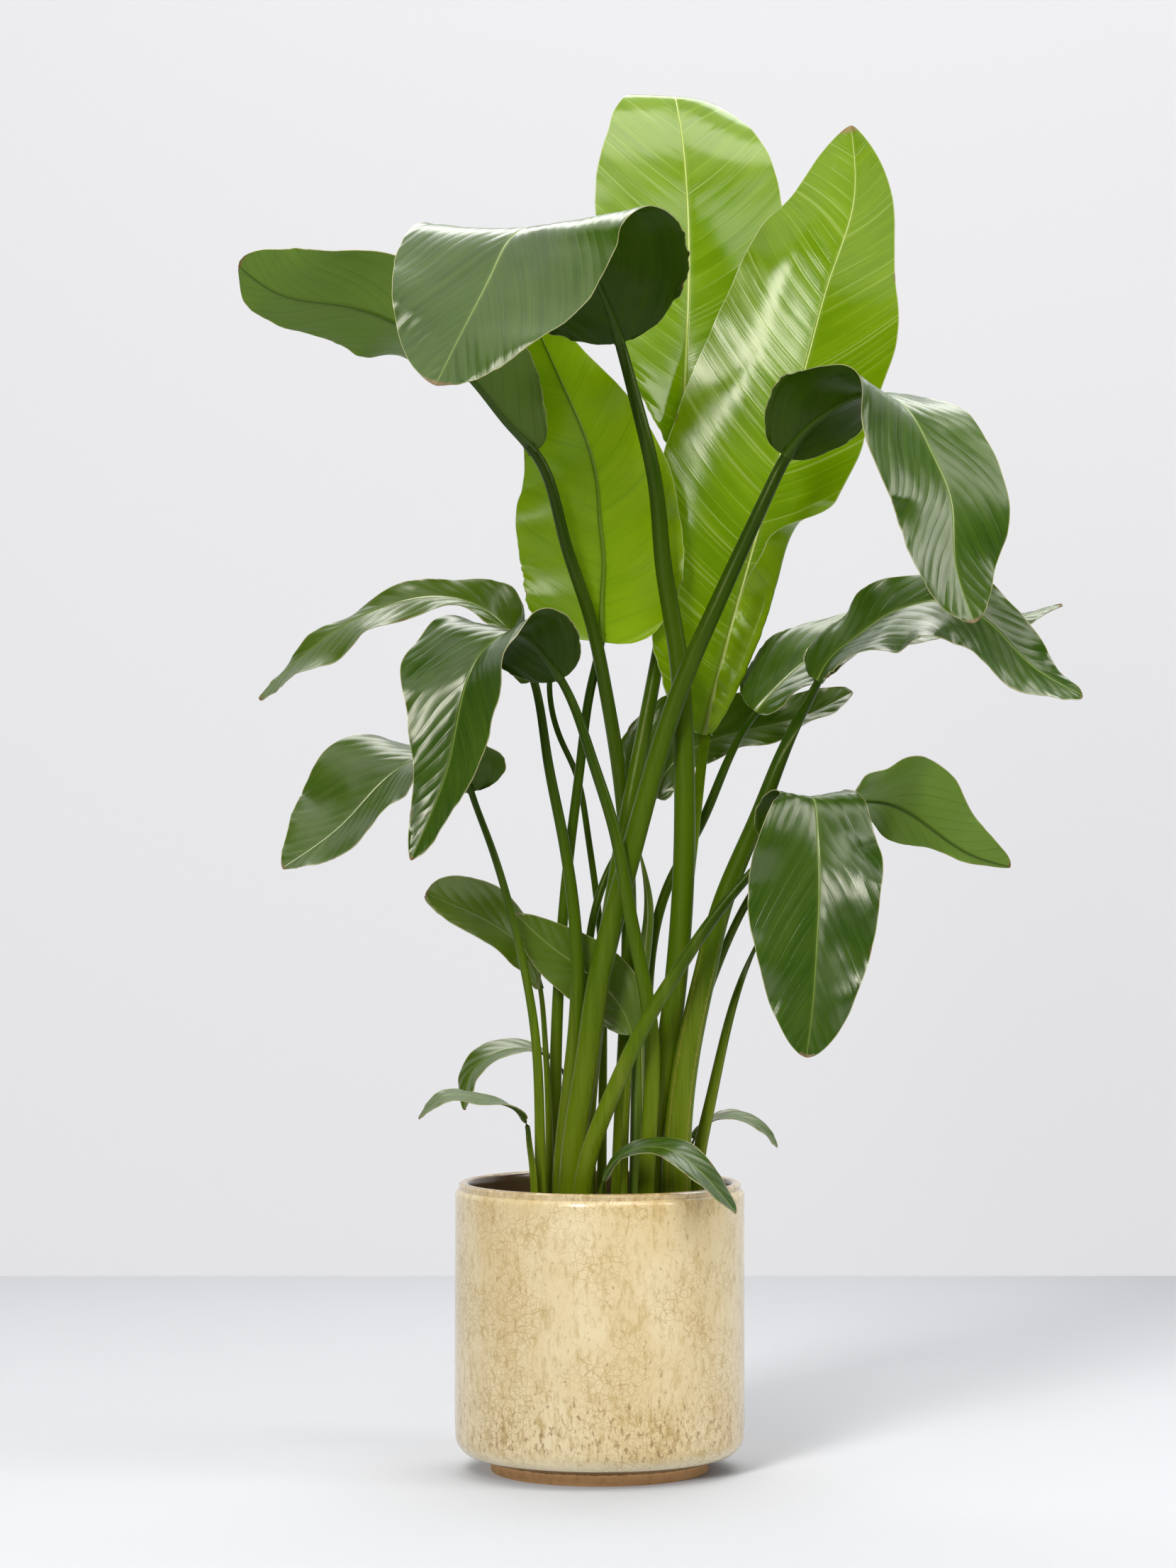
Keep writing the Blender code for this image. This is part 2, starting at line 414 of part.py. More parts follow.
def half_shape(leaf, t):
    """Half widths left and right, and the rib's own half width, at t along the blade."""
    low, high = leaf["profile"]
    top = low / (low + high)
    peak = top**low * (1.0 - top) ** high
    full = (max(t, 0.0) ** low) * (max(1.0 - t, 0.0) ** high) / peak
    narrowing = RIB_START + (1.0 - RIB_START) * math.exp(-t / RIB_FADE)
    rib = leaf["girth"][2] * narrowing * (1.0 - t) ** 0.8 + TIP_HALF_WIDTH
    trim_left, trim_right = spread(leaf.get("trim", [(1.0, 1.0)]), t)
    left, right = leaf["width"]
    return rib + left * full * trim_left, rib + right * full * trim_right, rib


def blade_stations(rows):
    even = np.linspace(0.0, 1.0, rows + 1)
    eased = 0.5 - 0.5 * np.cos(math.pi * even)
    return 0.5 * even + 0.5 * eased


def blade_point(leaf, line, base, tip, t, side, reach):
    """A point of the blade's middle surface and its outward direction on the upper side."""
    s = base + (tip - base) * t
    place, ahead, up, right_hand = frame_at(line, s, spread(leaf["face"], t))
    index = 0 if side < 0 else 1
    widths = half_shape(leaf, t)
    width = widths[index]
    lift = math.radians(spread(leaf["lift"], t)[index])
    curl = math.radians(spread(leaf["curl"], t)[index])
    share = reach / width
    turn_from, turn_to = leaf.get("turn", (0.0, 1.0))
    shares = np.linspace(0.0, share, 25)
    angles = lift + curl * np.clip((shares - turn_from) / (turn_to - turn_from), 0.0, 1.0)
    across = float(np.mean((np.cos(angles[1:]) + np.cos(angles[:-1])) / 2.0)) * reach
    rise = float(np.mean((np.sin(angles[1:]) + np.sin(angles[:-1])) / 2.0)) * reach
    angle = float(angles[-1])
    amount, count, start = leaf.get("wave", (0.0, 1.0, 0.0))
    ripple = amount * share * share * math.sin(2 * math.pi * (count * t + start + 0.35 * index))
    ripple *= min(1.0, 6.0 * t, 6.0 * (1.0 - t))
    outward = up * math.cos(angle) - right_hand * side * math.sin(angle)
    point = place + right_hand * side * across + up * rise + outward * ripple
    return point, outward


def blade_mesh(leaf):
    """Two sheets a leaf's thickness apart, with the rib standing out below."""
    line, base, tip = leaf_line(leaf)
    columns = leaf.get("columns", 3)
    rows = leaf.get("rows", 12)
    top = []
    bottom = []
    for t in blade_stations(rows):
        left, right, rib = half_shape(leaf, t)
        top_row = []
        bottom_row = []
        for side, width in ((-1, left), (1, right)):
            reaches = [rib * 0.9]
            for k in range(1, columns):
                reaches.append(rib * 0.9 + (width - rib * 0.9) * (k / (columns - 1)))
            half_top = []
            half_bottom = []
            for reach in reaches:
                point, outward = blade_point(leaf, line, base, tip, t, side, reach)
                half_top.append(point + outward * LEAF_THICKNESS / 2)
                half_bottom.append(point - outward * LEAF_THICKNESS / 2)
            if side < 0:
                half_top.reverse()
                half_bottom.reverse()
            top_row.append(half_top)
            bottom_row.append(half_bottom)
        s = base + (tip - base) * t
        point, _, up, _ = frame_at(line, s, spread(leaf["face"], t))
        top.append(top_row[0] + [point + up * LEAF_THICKNESS / 2] + top_row[1])
        ridge = LEAF_THICKNESS / 2 + rib * RIDGE_DEPTH
        bottom.append(bottom_row[0] + [point - up * ridge] + bottom_row[1])
    across = len(top[0])
    vertices = []
    for row in top + bottom:
        vertices.extend(row)

    def upper(i, j):
        return i * across + j

    def lower(i, j):
        return (rows + 1 + i) * across + j

    faces = []
    for i in range(rows):
        for j in range(across - 1):
            for at in (upper, lower):
                corners = (at(i, j), at(i, j + 1), at(i + 1, j + 1), at(i + 1, j))
                if j < across // 2:
                    faces.append((corners[0], corners[1], corners[2]))
                    faces.append((corners[0], corners[2], corners[3]))
                else:
                    faces.append((corners[0], corners[1], corners[3]))
                    faces.append((corners[1], corners[2], corners[3]))
        faces.append((upper(i, 0), upper(i + 1, 0), lower(i + 1, 0), lower(i, 0)))
        last = across - 1
        faces.append((upper(i, last), lower(i, last), lower(i + 1, last), upper(i + 1, last)))
    for i in (0, rows):
        for j in range(across - 1):
            faces.append((upper(i, j), lower(i, j), lower(i, j + 1), upper(i, j + 1)))
    return vertices, faces


def tube(places, uprights, sides_out, halves, sides):
    vertices = []
    for place, up, side, (wide, deep) in zip(places, uprights, sides_out, halves):
        for k in range(sides):
            angle = 2.0 * math.pi * (k + 0.5) / sides
            vertices.append(place + side * wide * math.cos(angle) + up * deep * math.sin(angle))
    faces = []
    rings = len(places)
    for i in range(rings - 1):
        for k in range(sides):
            n = (k + 1) % sides
            faces.append((i * sides + k, i * sides + n, (i + 1) * sides + n, (i + 1) * sides + k))
    faces.append(tuple(range(sides - 1, -1, -1)))
    faces.append(tuple((rings - 1) * sides + k for k in range(sides)))
    return vertices, faces


def stalk_section(leaf, s, base):
    """Half width and half depth of the stalk at s."""
    wide = spread_three(leaf["girth"], s / base)
    flat = leaf.get("flat", 0.62)
    deep = wide * (flat + (1.0 - flat) * min(1.0, s / base) ** 0.7)
    return wide, deep


def spread_three(values, t):
    """A smooth curve through three values at 0, a half and 1."""
    low, middle, high = values
    return low * (1 - t) * (1 - 2 * t) + middle * 4 * t * (1 - t) + high * t * (2 * t - 1)


def stalk_mesh(leaf):
    """The stalk's tube, from its flat foot in the soil to just short of the blade."""
    line, base, _ = leaf_line(leaf)
    end = base - GAP
    joint_face = unit(spread(leaf["face"], 0.0))
    root_face = np.array([0.0, -1.0, 0.0])
    if float(np.dot(joint_face, root_face)) < 0.0:
        root_face = -root_face
    count = max(4, int(round(end / STALK_STEP)))
    places = []
    uprights = []
    sides_out = []
    halves = []
    for s in np.linspace(0.0, end, count + 1):
        part = min(1.0, s / base) ** 3
        facing = root_face * (1.0 - part) + joint_face * part
        place, _, up, right_hand = frame_at(line, s, facing)
        if s == 0.0:
            ahead = np.array([0.0, 0.0, 1.0])
            up = unit(root_face - ahead * np.dot(root_face, ahead))
            right_hand = np.cross(ahead, up)
        places.append(place)
        uprights.append(up)
        sides_out.append(right_hand)
        halves.append(stalk_section(leaf, s, base))
    return tube(places, uprights, sides_out, halves, STALK_SIDES)


# ---------------------------------------------------------------- pot and soil
def pot_profile():
    return [
        (0.0, 0.0), (FOOT_RADIUS - 0.0015, 0.0), (FOOT_RADIUS, 0.0015), (FOOT_RADIUS, FOOT_HEIGHT),
        (0.1290, 0.0145), (0.1400, 0.0200), (0.1500, 0.0245), (0.1580, 0.0290),
        (0.1630, 0.0350), (POT_RADIUS, 0.0440), (POT_RADIUS, 0.3020),
        (0.1642, 0.3130), (0.1620, 0.3205), (0.1585, 0.3260), (0.1545, POT_HEIGHT),
        (0.1512, 0.3262), (OPENING_RADIUS, 0.3200), (OPENING_RADIUS, 0.0480),
        (0.1430, 0.0320), (0.1300, FLOOR_TOP), (0.0, FLOOR_TOP),
    ]


def build_pot():
    vertices, faces = lathe(pot_profile(), POT_SIDES)
    return make_object("pot", vertices, faces, "cream_glaze")


def build_soil():
    reach = OPENING_RADIUS - GAP - 0.0004
    profile = [
        (0.0, FLOOR_TOP + GAP), (0.126, FLOOR_TOP + GAP), (0.140, 0.0335), (reach, 0.052),
        (reach, SOIL_TOP - 0.004), (reach - 0.012, SOIL_TOP), (0.090, SOIL_TOP + 0.7 * SOIL_MOUND),
        (0.0, SOIL_TOP + SOIL_MOUND),
    ]
    vertices, faces = lathe(profile, POT_SIDES)
    soil = make_object("soil", vertices, faces, "dark_soil")
    return soil


def sink_holes(soil, cutters):
    for cutter in cutters:
        modifier = soil.modifiers.new("hole", "BOOLEAN")
        modifier.operation = "DIFFERENCE"
        modifier.solver = "EXACT"
        modifier.object = cutter
        cutter.hide_render = True
        cutter.display_type = "WIRE"
    depsgraph = bpy.context.evaluated_depsgraph_get()
    mesh = bpy.data.meshes.new_from_object(soil.evaluated_get(depsgraph))
    soil.modifiers.clear()
    soil.data = mesh
    for cutter in cutters:
        bpy.data.objects.remove(cutter, do_unlink=True)


def prism_cutter(name, vertices_ring, low, high):
    """A straight upright prism over one ring of points."""
    count = len(vertices_ring)
    vertices = [(p[0], p[1], low) for p in vertices_ring] + [(p[0], p[1], high) for p in vertices_ring]
    faces = [tuple(range(count - 1, -1, -1)), tuple(range(count, 2 * count))]
    for k in range(count):
        n = (k + 1) % count
        faces.append((k, n, count + n, count + k))
    return make_object(name, vertices, faces, "dark_soil")


def spear_mesh():
    line = SmoothLine(SPEAR_LINE)
    places = []
    uprights = []
    sides_out = []
    halves = []
    for s in np.linspace(0.0, line.knots[-1], 12):
        place, ahead, up, right_hand = frame_at(line, s, (0.0, -1.0, 0.0))
        if s == 0.0:
            ahead = np.array([0.0, 0.0, 1.0])
            up = np.array([0.0, -1.0, 0.0])
            right_hand = np.cross(ahead, up)
        places.append(place)
        uprights.append(up)
        sides_out.append(right_hand)
        wide = float(np.interp(s, line.knots, SPEAR_RADII))
        halves.append((wide, wide * 0.75))
    return tube(places, uprights, sides_out, halves, STALK_SIDES)


# ---------------------------------------------------------------- assembly
def build():
    clear_scene()
    build_pot()
    soil = build_soil()
    cutters = []
    for name, leaf in LEAVES.items():
        number = name[-2:]
        vertices, faces = blade_mesh(leaf)
        slot = "young_leaf" if name in YOUNG_LEAVES else "green_leaf"
        make_object("blade_" + number, vertices, faces, slot)
        vertices, faces = stalk_mesh(leaf)
        make_object("stalk_" + number, vertices, faces, "green_stalk")
        cutters.append(hole_for(name, leaf))
    vertices, faces = spear_mesh()
    make_object("spear", vertices, faces, "young_leaf")
    cutters.append(hole_for("spear", dict(stalk=SPEAR_LINE, rib=[], girth=(0.008, 0.008, 0.008),
                                          face=[(0, -1, 0)], flat=0.75)))
    sink_holes(soil, cutters)


def hole_for(name, leaf):
    """The plain upright hole that a stalk's foot stands in."""
    if leaf["rib"]:
        line, base, _ = leaf_line(leaf)
    else:
        line = SmoothLine(leaf["stalk"])
        base = line.knots[-1]
    depth = SOIL_TOP + SOIL_MOUND + 0.002 - leaf["stalk"][0][2]
    foot = line.at(0.0)
    head = line.at(depth)
    wide, deep = stalk_section(leaf, 0.0, base)
    lean_x = abs(head[0] - foot[0]) / 2
    lean_y = abs(head[1] - foot[1]) / 2
    centre = (foot + head) / 2
    grow = 2.0 * GAP + 0.0004
    ring = []
    for k in range(12):
        angle = 2.0 * math.pi * (k + 0.5) / 12
        stretch = 1.0 / math.cos(math.pi / 12)
        x = centre[0] + (wide + grow + lean_x) * stretch * math.cos(angle)
        y = centre[1] + (deep + grow + lean_y) * stretch * math.sin(angle)
        ring.append((x, y))
    return prism_cutter("hole_" + name, ring, leaf["stalk"][0][2] - GAP, SOIL_TOP + 0.05)


build()
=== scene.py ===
import json
import math

import bpy
import numpy as np
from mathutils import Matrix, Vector

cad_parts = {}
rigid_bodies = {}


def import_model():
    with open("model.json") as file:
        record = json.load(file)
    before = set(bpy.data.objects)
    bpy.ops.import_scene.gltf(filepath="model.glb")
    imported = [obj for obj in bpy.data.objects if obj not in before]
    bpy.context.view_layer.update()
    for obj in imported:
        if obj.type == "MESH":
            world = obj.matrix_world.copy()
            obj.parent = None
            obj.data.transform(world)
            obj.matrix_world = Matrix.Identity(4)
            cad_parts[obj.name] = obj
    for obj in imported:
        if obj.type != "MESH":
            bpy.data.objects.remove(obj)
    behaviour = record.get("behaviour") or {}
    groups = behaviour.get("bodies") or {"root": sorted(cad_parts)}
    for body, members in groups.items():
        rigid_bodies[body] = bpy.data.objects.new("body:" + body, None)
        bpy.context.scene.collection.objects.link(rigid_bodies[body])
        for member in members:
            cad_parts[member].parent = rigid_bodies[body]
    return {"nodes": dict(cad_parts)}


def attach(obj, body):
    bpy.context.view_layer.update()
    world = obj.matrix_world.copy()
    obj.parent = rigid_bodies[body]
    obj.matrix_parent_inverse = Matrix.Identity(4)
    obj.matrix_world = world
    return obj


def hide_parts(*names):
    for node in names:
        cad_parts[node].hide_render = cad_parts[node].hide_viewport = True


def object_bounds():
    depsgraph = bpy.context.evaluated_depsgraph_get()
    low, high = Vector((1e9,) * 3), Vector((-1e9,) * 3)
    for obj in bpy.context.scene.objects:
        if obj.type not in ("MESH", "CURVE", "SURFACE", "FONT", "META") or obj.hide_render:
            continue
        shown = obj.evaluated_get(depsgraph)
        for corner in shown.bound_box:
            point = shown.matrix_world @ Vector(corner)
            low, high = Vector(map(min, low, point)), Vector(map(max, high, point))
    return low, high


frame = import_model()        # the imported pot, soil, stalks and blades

cadLow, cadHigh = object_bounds()
print("frame loaded:", len(frame["nodes"]), "nodes")


# writing node trees

def wireMaths(operation):  # the operation with a wire on its left, and with a wire on its right
    def onLeft(wire, value):
        return wire.nodes.maths(operation, wire, value)

    def onRight(wire, value):
        return wire.nodes.maths(operation, value, wire)

    return onLeft, onRight


class Wire:  # one output of a node, so that maths on it reads as a plain expression
    __add__, __radd__ = wireMaths("ADD")
    __sub__, __rsub__ = wireMaths("SUBTRACT")
    __mul__, __rmul__ = wireMaths("MULTIPLY")
    __truediv__, __rtruediv__ = wireMaths("DIVIDE")
    __pow__, __rpow__ = wireMaths("POWER")

    def __init__(self, nodes, socket):
        self.nodes = nodes
        self.socket = socket

    def other(self, name):  # another output of the same node
        return Wire(self.nodes, self.socket.node.outputs[name])


class NodeSheet:  # a node tree being written
    def __init__(self, tree):
        self.tree = tree

    def node(self, kind, settings=None, sockets=None, output=0):
        made = self.tree.nodes.new(kind)
        for name, value in (settings or {}).items():
            setattr(made, name, value)
        for key, value in (sockets or {}).items():
            socket = self.find(made.inputs, key)
            if isinstance(value, Wire):
                self.tree.links.new(value.socket, socket)
            elif value is not None:
                socket.default_value = value
        return Wire(self, self.find(made.outputs, output)) if len(made.outputs) else made

    def find(self, sockets, key):
        if isinstance(key, int):
            return sockets[key]
        for socket in sockets:
            if key in (socket.identifier, socket.name):
                return socket
        raise KeyError(key)

    def maths(self, operation, *values):
        return self.node("ShaderNodeMath", {"operation": operation}, dict(enumerate(values)))

    def absolute(self, value):
        return self.maths("ABSOLUTE", value)

    def vectors(self, operation, *values, output=0):
        return self.node("ShaderNodeVectorMath", {"operation": operation}, dict(enumerate(values)),
                         output)

    def scaled(self, vector, size):
        return self.node("ShaderNodeVectorMath", {"operation": "SCALE"},
                         {"Vector": vector, "Scale": size})

    def spot(self, x, y, z=None):
        return self.node("ShaderNodeCombineXYZ", None, {"X": x, "Y": y, "Z": z})

    def zOf(self, vector):
        return self.node("ShaderNodeSeparateXYZ", None, {"Vector": vector}, "Z")

    def between(self, value, low, high):  # 0 below low, 1 above high, smooth between
        return self.node("ShaderNodeMapRange", {"interpolation_type": "SMOOTHSTEP"},
                         {"Value": value, "From Min": low, "From Max": high})

    def outside(self, value, low, high):  # 1 below low, 0 above high
        return 1.0 - self.between(value, low, high)

    def mixColours(self, share, first, second):
        sockets = {"Factor_Float": share, "A_Color": first, "B_Color": second}
        for key in ("A_Color", "B_Color"):
            if isinstance(sockets[key], tuple):
                sockets[key] = (*sockets[key], 1.0)
        return self.node("ShaderNodeMix", {"data_type": "RGBA"}, sockets, "Result_Color")

    def noise(self, place, scale, detail=2.0, roughness=0.5):
        return self.node("ShaderNodeTexNoise", None,
                         {"Vector": place, "Scale": scale, "Detail": detail, "Roughness": roughness})


class ShapeTree(NodeSheet):  # a geometry modifier's tree, with named inputs
    def __init__(self, name, inputs):
        super().__init__(bpy.data.node_groups.new(name, "GeometryNodeTree"))
        self.label = {}
        face = self.tree.interface
        face.new_socket("Geometry", in_out="INPUT", socket_type="NodeSocketGeometry")
        for label, kind, value in inputs:
            socket = face.new_socket(label, in_out="INPUT", socket_type="NodeSocket" + kind)
            if value is not None:
                socket.default_value = value
            self.label[label] = socket.identifier
        face.new_socket("Geometry", in_out="OUTPUT", socket_type="NodeSocketGeometry")
        self.start = self.node("NodeGroupInput")

    def given(self, label):
        return self.start.other(label)

    def field(self, name, kind="FLOAT"):
        return self.node("GeometryNodeInputNamedAttribute", {"data_type": kind}, {"Name": name})

    def store(self, geometry, name, value, kind="FLOAT"):
        return self.node("GeometryNodeStoreNamedAttribute", {"data_type": kind},
                         {"Geometry": geometry, "Name": name, "Value": value})

    def moved(self, geometry, vector, size):
        return self.node("GeometryNodeSetPosition", None,
                         {"Geometry": geometry, "Offset": self.scaled(vector, size)})

    def close(self, geometry, *finishes):  # each finish is a label, and a selection or nothing
        geometry = self.node("GeometryNodeRealizeInstances", None, {"Geometry": geometry})
        for label, selection in finishes:
            sockets = {"Geometry": geometry, "Material": self.given(label)}
            if selection is not None:
                sockets["Selection"] = selection
            geometry = self.node("GeometryNodeSetMaterial", None, sockets)
        self.node("NodeGroupOutput", None, {"Geometry": geometry})

    def shape(self, thing, values):  # bakes the tree's result into the thing's own mesh
        modifier = thing.modifiers.new("shape", "NODES")
        modifier.node_group = self.tree
        for label, value in values.items():
            modifier[self.label[label]] = value
        depsgraph = bpy.context.evaluated_depsgraph_get()
        mesh = bpy.data.meshes.new_from_object(thing.evaluated_get(depsgraph))
        thing.modifiers.clear()
        old = thing.data
        thing.data = mesh
        mesh.name = old.name
        bpy.data.meshes.remove(old)


class Finish(NodeSheet):  # a material being written
    def __init__(self, name):
        self.material = bpy.data.materials.new(name)
        self.material.use_nodes = True
        super().__init__(self.material.node_tree)
        self.tree.nodes.clear()

    def place(self):
        return self.node("ShaderNodeTexCoord", None, None, "Object")

    def drawnOut(self, place, stretch):  # the same place with its height squeezed, for long marks
        return self.node("ShaderNodeMapping", None, {"Vector": place, "Scale": (1.0, 1.0, stretch)})

    def field(self, name):
        return self.node("ShaderNodeAttribute", {"attribute_name": name}, None, "Fac")

    def bump(self, height, strength, distance, normal=None):
        return self.node("ShaderNodeBump", None, {"Height": height, "Strength": strength,
                                                  "Distance": distance, "Normal": normal})

    def surface(self, colour, rough, more):
        return self.node("ShaderNodeBsdfPrincipled", None,
                         {"Base Color": colour, "Roughness": rough, **more})

    def close(self, shader):
        self.node("ShaderNodeOutputMaterial", None, {"Surface": shader})
        return self.material


# making pieces

boxEdge = dict(margin=0.010, used=0.98)     # where a blade starts to ease back, and how far it may go


def newPiece(name, points, faces, finishes=()):
    mesh = bpy.data.meshes.new(name)
    mesh.from_pydata(np.asarray(points, float).tolist(), [], faces)
    mesh.update()
    piece = bpy.data.objects.new(name, mesh)
    bpy.context.collection.objects.link(piece)
    for finish in finishes:
        mesh.materials.append(finish)
    return piece


def storeField(piece, name, values, kind="FLOAT"):
    layer = piece.data.attributes.new(name, kind, "POINT")
    word = "vector" if kind == "FLOAT_VECTOR" else "value"
    layer.data.foreach_set(word, np.asarray(values, np.float32).ravel())


def smoothFaces(piece, sharpDegrees=50.0):
    piece.data.shade_smooth()
    piece.data.set_sharp_from_angle(angle=math.radians(sharpDegrees))


def holdInside(piece):  # eases the last centimetre back, so that nothing passes the frame's box
    mesh, margin = piece.data, boxEdge["margin"]
    points = np.empty(3 * len(mesh.vertices), np.float32)
    mesh.vertices.foreach_get("co", points)
    points = points.reshape(-1, 3).astype(float)
    for side, limit in ((-1, np.array(cadLow)), (1, np.array(cadHigh))):
        start = limit - side * margin
        past = np.maximum(side * (points - start) / margin, 0)
        eased = start + side * margin * boxEdge["used"] * (1 - np.exp(-past))
        points = np.where(past > 0, eased, points)
    points[:, 2] = np.maximum(points[:, 2], 0)
    mesh.vertices.foreach_set("co", points.astype(np.float32).ravel())
    mesh.update()


def standFor(piece, slot, *nodes):
    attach(piece, "root")
    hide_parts(*nodes)


# camera, light and ground

stage = dict(
    cameraPlace=(-0.0133, -4.957, 0.78), lens=100.0, sensorWidth=36.0, clipEnd=100.0,
    floorColour=(0.455, 0.463, 0.482), floorReach=6.0,
    wallColour=(0.16, 0.16, 0.163), wallGlow=(0.615, 0.615, 0.627), wallPlace=1.95, wallHeight=6.0,
    grainScale=3.0, grainShade=0.04, darker=0.9, roughness=0.9,
    skyColour=(1.0, 0.99, 0.97), skyStrength=0.10,
)
white = (1, 1, 1)
lamps = dict(  # place, what it looks at, width and height, power in watts, colour
    key=dict(place=(-1.05, -3.1, 2.8), aim=(0, 0, 1.0), size=(0.70, 2.0), power=90,
             colour=(1, 0.99, 0.97)),
    top=dict(place=(-0.3, -0.3, 3.4), aim=(-0.3, -0.3, 0), size=(3.2, 2.8), power=36, colour=white),
    back=dict(place=(0.2, 1.6, 2.95), aim=(0.1, -0.1, 1.0), size=(3.2, 1.2), power=62, colour=white),
    front=dict(place=(1.25, -1.9, 3.0), aim=(0.3, -0.1, 1.0), size=(1.8, 0.9), power=20, colour=white),
    strip=dict(place=(0.75, -0.45, 3.3), aim=(0.4, -0.1, 1.0), size=(1.1, 1.1), power=20,
               colour=white),
    low=dict(place=(-4.1, -8.0, 2.75), aim=(0, 0.4, 0), size=(1.8, 1.1), power=1150,
             colour=(1, 1, 0.98), lights="floor"),     # only draws the pot's long shadow on the floor
    right=dict(place=(2.5, -0.9, 2.1), aim=(0.3, 0, 1.0), size=(0.9, 1.4), power=26, colour=white),
)


def plainFinish(name, colour, glow=(0, 0, 0), openBehind=False):
    finish = Finish(name)
    grain = finish.noise(finish.place(), stage["grainScale"], 3.0)
    shade = finish.mixColours(grain * stage["grainShade"], colour,
                              tuple(stage["darker"] * c for c in colour))
    paint = finish.surface(shade, stage["roughness"],
                           {"Emission Color": (*glow, 1.0), "Emission Strength": 1.0})
    if openBehind:     # so that the wall hides nothing in a view from behind it
        behind = finish.node("ShaderNodeNewGeometry", None, None, "Backfacing")
        paint = finish.node("ShaderNodeMixShader", None,
                            {0: behind, 1: paint, 2: finish.node("ShaderNodeBsdfTransparent")})
    return finish.close(paint)


def addCamera(scene):
    camera = bpy.data.objects.new("camera", bpy.data.cameras.new("camera"))
    scene.collection.objects.link(camera)
    camera.data.lens = stage["lens"]
    camera.data.sensor_width = stage["sensorWidth"]
    camera.data.clip_end = stage["clipEnd"]
    camera.location = stage["cameraPlace"]
    camera.rotation_euler = (math.pi / 2, 0, 0)
    scene.camera = camera


def addLamp(scene, name, lamp):
    light = bpy.data.lights.new(name, "AREA")
    light.shape = "RECTANGLE"
    light.size, light.size_y = lamp["size"]
    light.energy = lamp["power"]
    light.color = lamp["colour"]
    stand = bpy.data.objects.new(name, light)
    scene.collection.objects.link(stand)
    stand.location = lamp["place"]
    stand.visible_camera = False
    way = Vector(lamp["aim"]) - stand.location
    stand.rotation_euler = way.to_track_quat("-Z", "Y").to_euler()
    if "lights" in lamp:
        only = bpy.data.collections.new(name + "Receives")
        only.objects.link(bpy.data.objects[lamp["lights"]])
        stand.light_linking.receiver_collection = only


def buildStage():
    scene = bpy.context.scene
    addCamera(scene)
    reach, back, high = stage["floorReach"], stage["wallPlace"], stage["wallHeight"]
    floorCorners = [(-reach, -reach, 0), (reach, -reach, 0), (reach, reach, 0), (-reach, reach, 0)]
    wallCorners = [(-reach, back, 0), (reach, back, 0), (reach, back, high), (-reach, back, high)]
    wallPaint = plainFinish("wallPaint", stage["wallColour"], stage["wallGlow"], True)
    floor = newPiece("floor", floorCorners, [(0, 1, 2, 3)], [plainFinish("floorPaint", stage["floorColour"])])
    wall = newPiece("wall", wallCorners, [(0, 1, 2, 3)], [wallPaint])
    for name, lamp in lamps.items():
        addLamp(scene, name, lamp)
    sky = bpy.data.worlds.new("studio")
    sky.use_nodes = True
    scene.world = sky
    air = sky.node_tree.nodes["Background"]
    air.inputs["Color"].default_value = (*stage["skyColour"], 1)
    air.inputs["Strength"].default_value = stage["skyStrength"]
    scene.view_settings.view_transform = "Standard"


buildStage()
print("camera, light and ground made")


# leaves: where each one runs, in metres and degrees
# stalk and rib are the points of one smooth line, from the soil to the blade and on to its tip.
# face is where the upper side looks; lift and curl turn the left and the right half out of the flat,
# and turn says over which part of a half its curl runs. width, profile and trim give the outline,
# and wave the edge's height, count and start. girth is the stalk's half width low, half way and high.

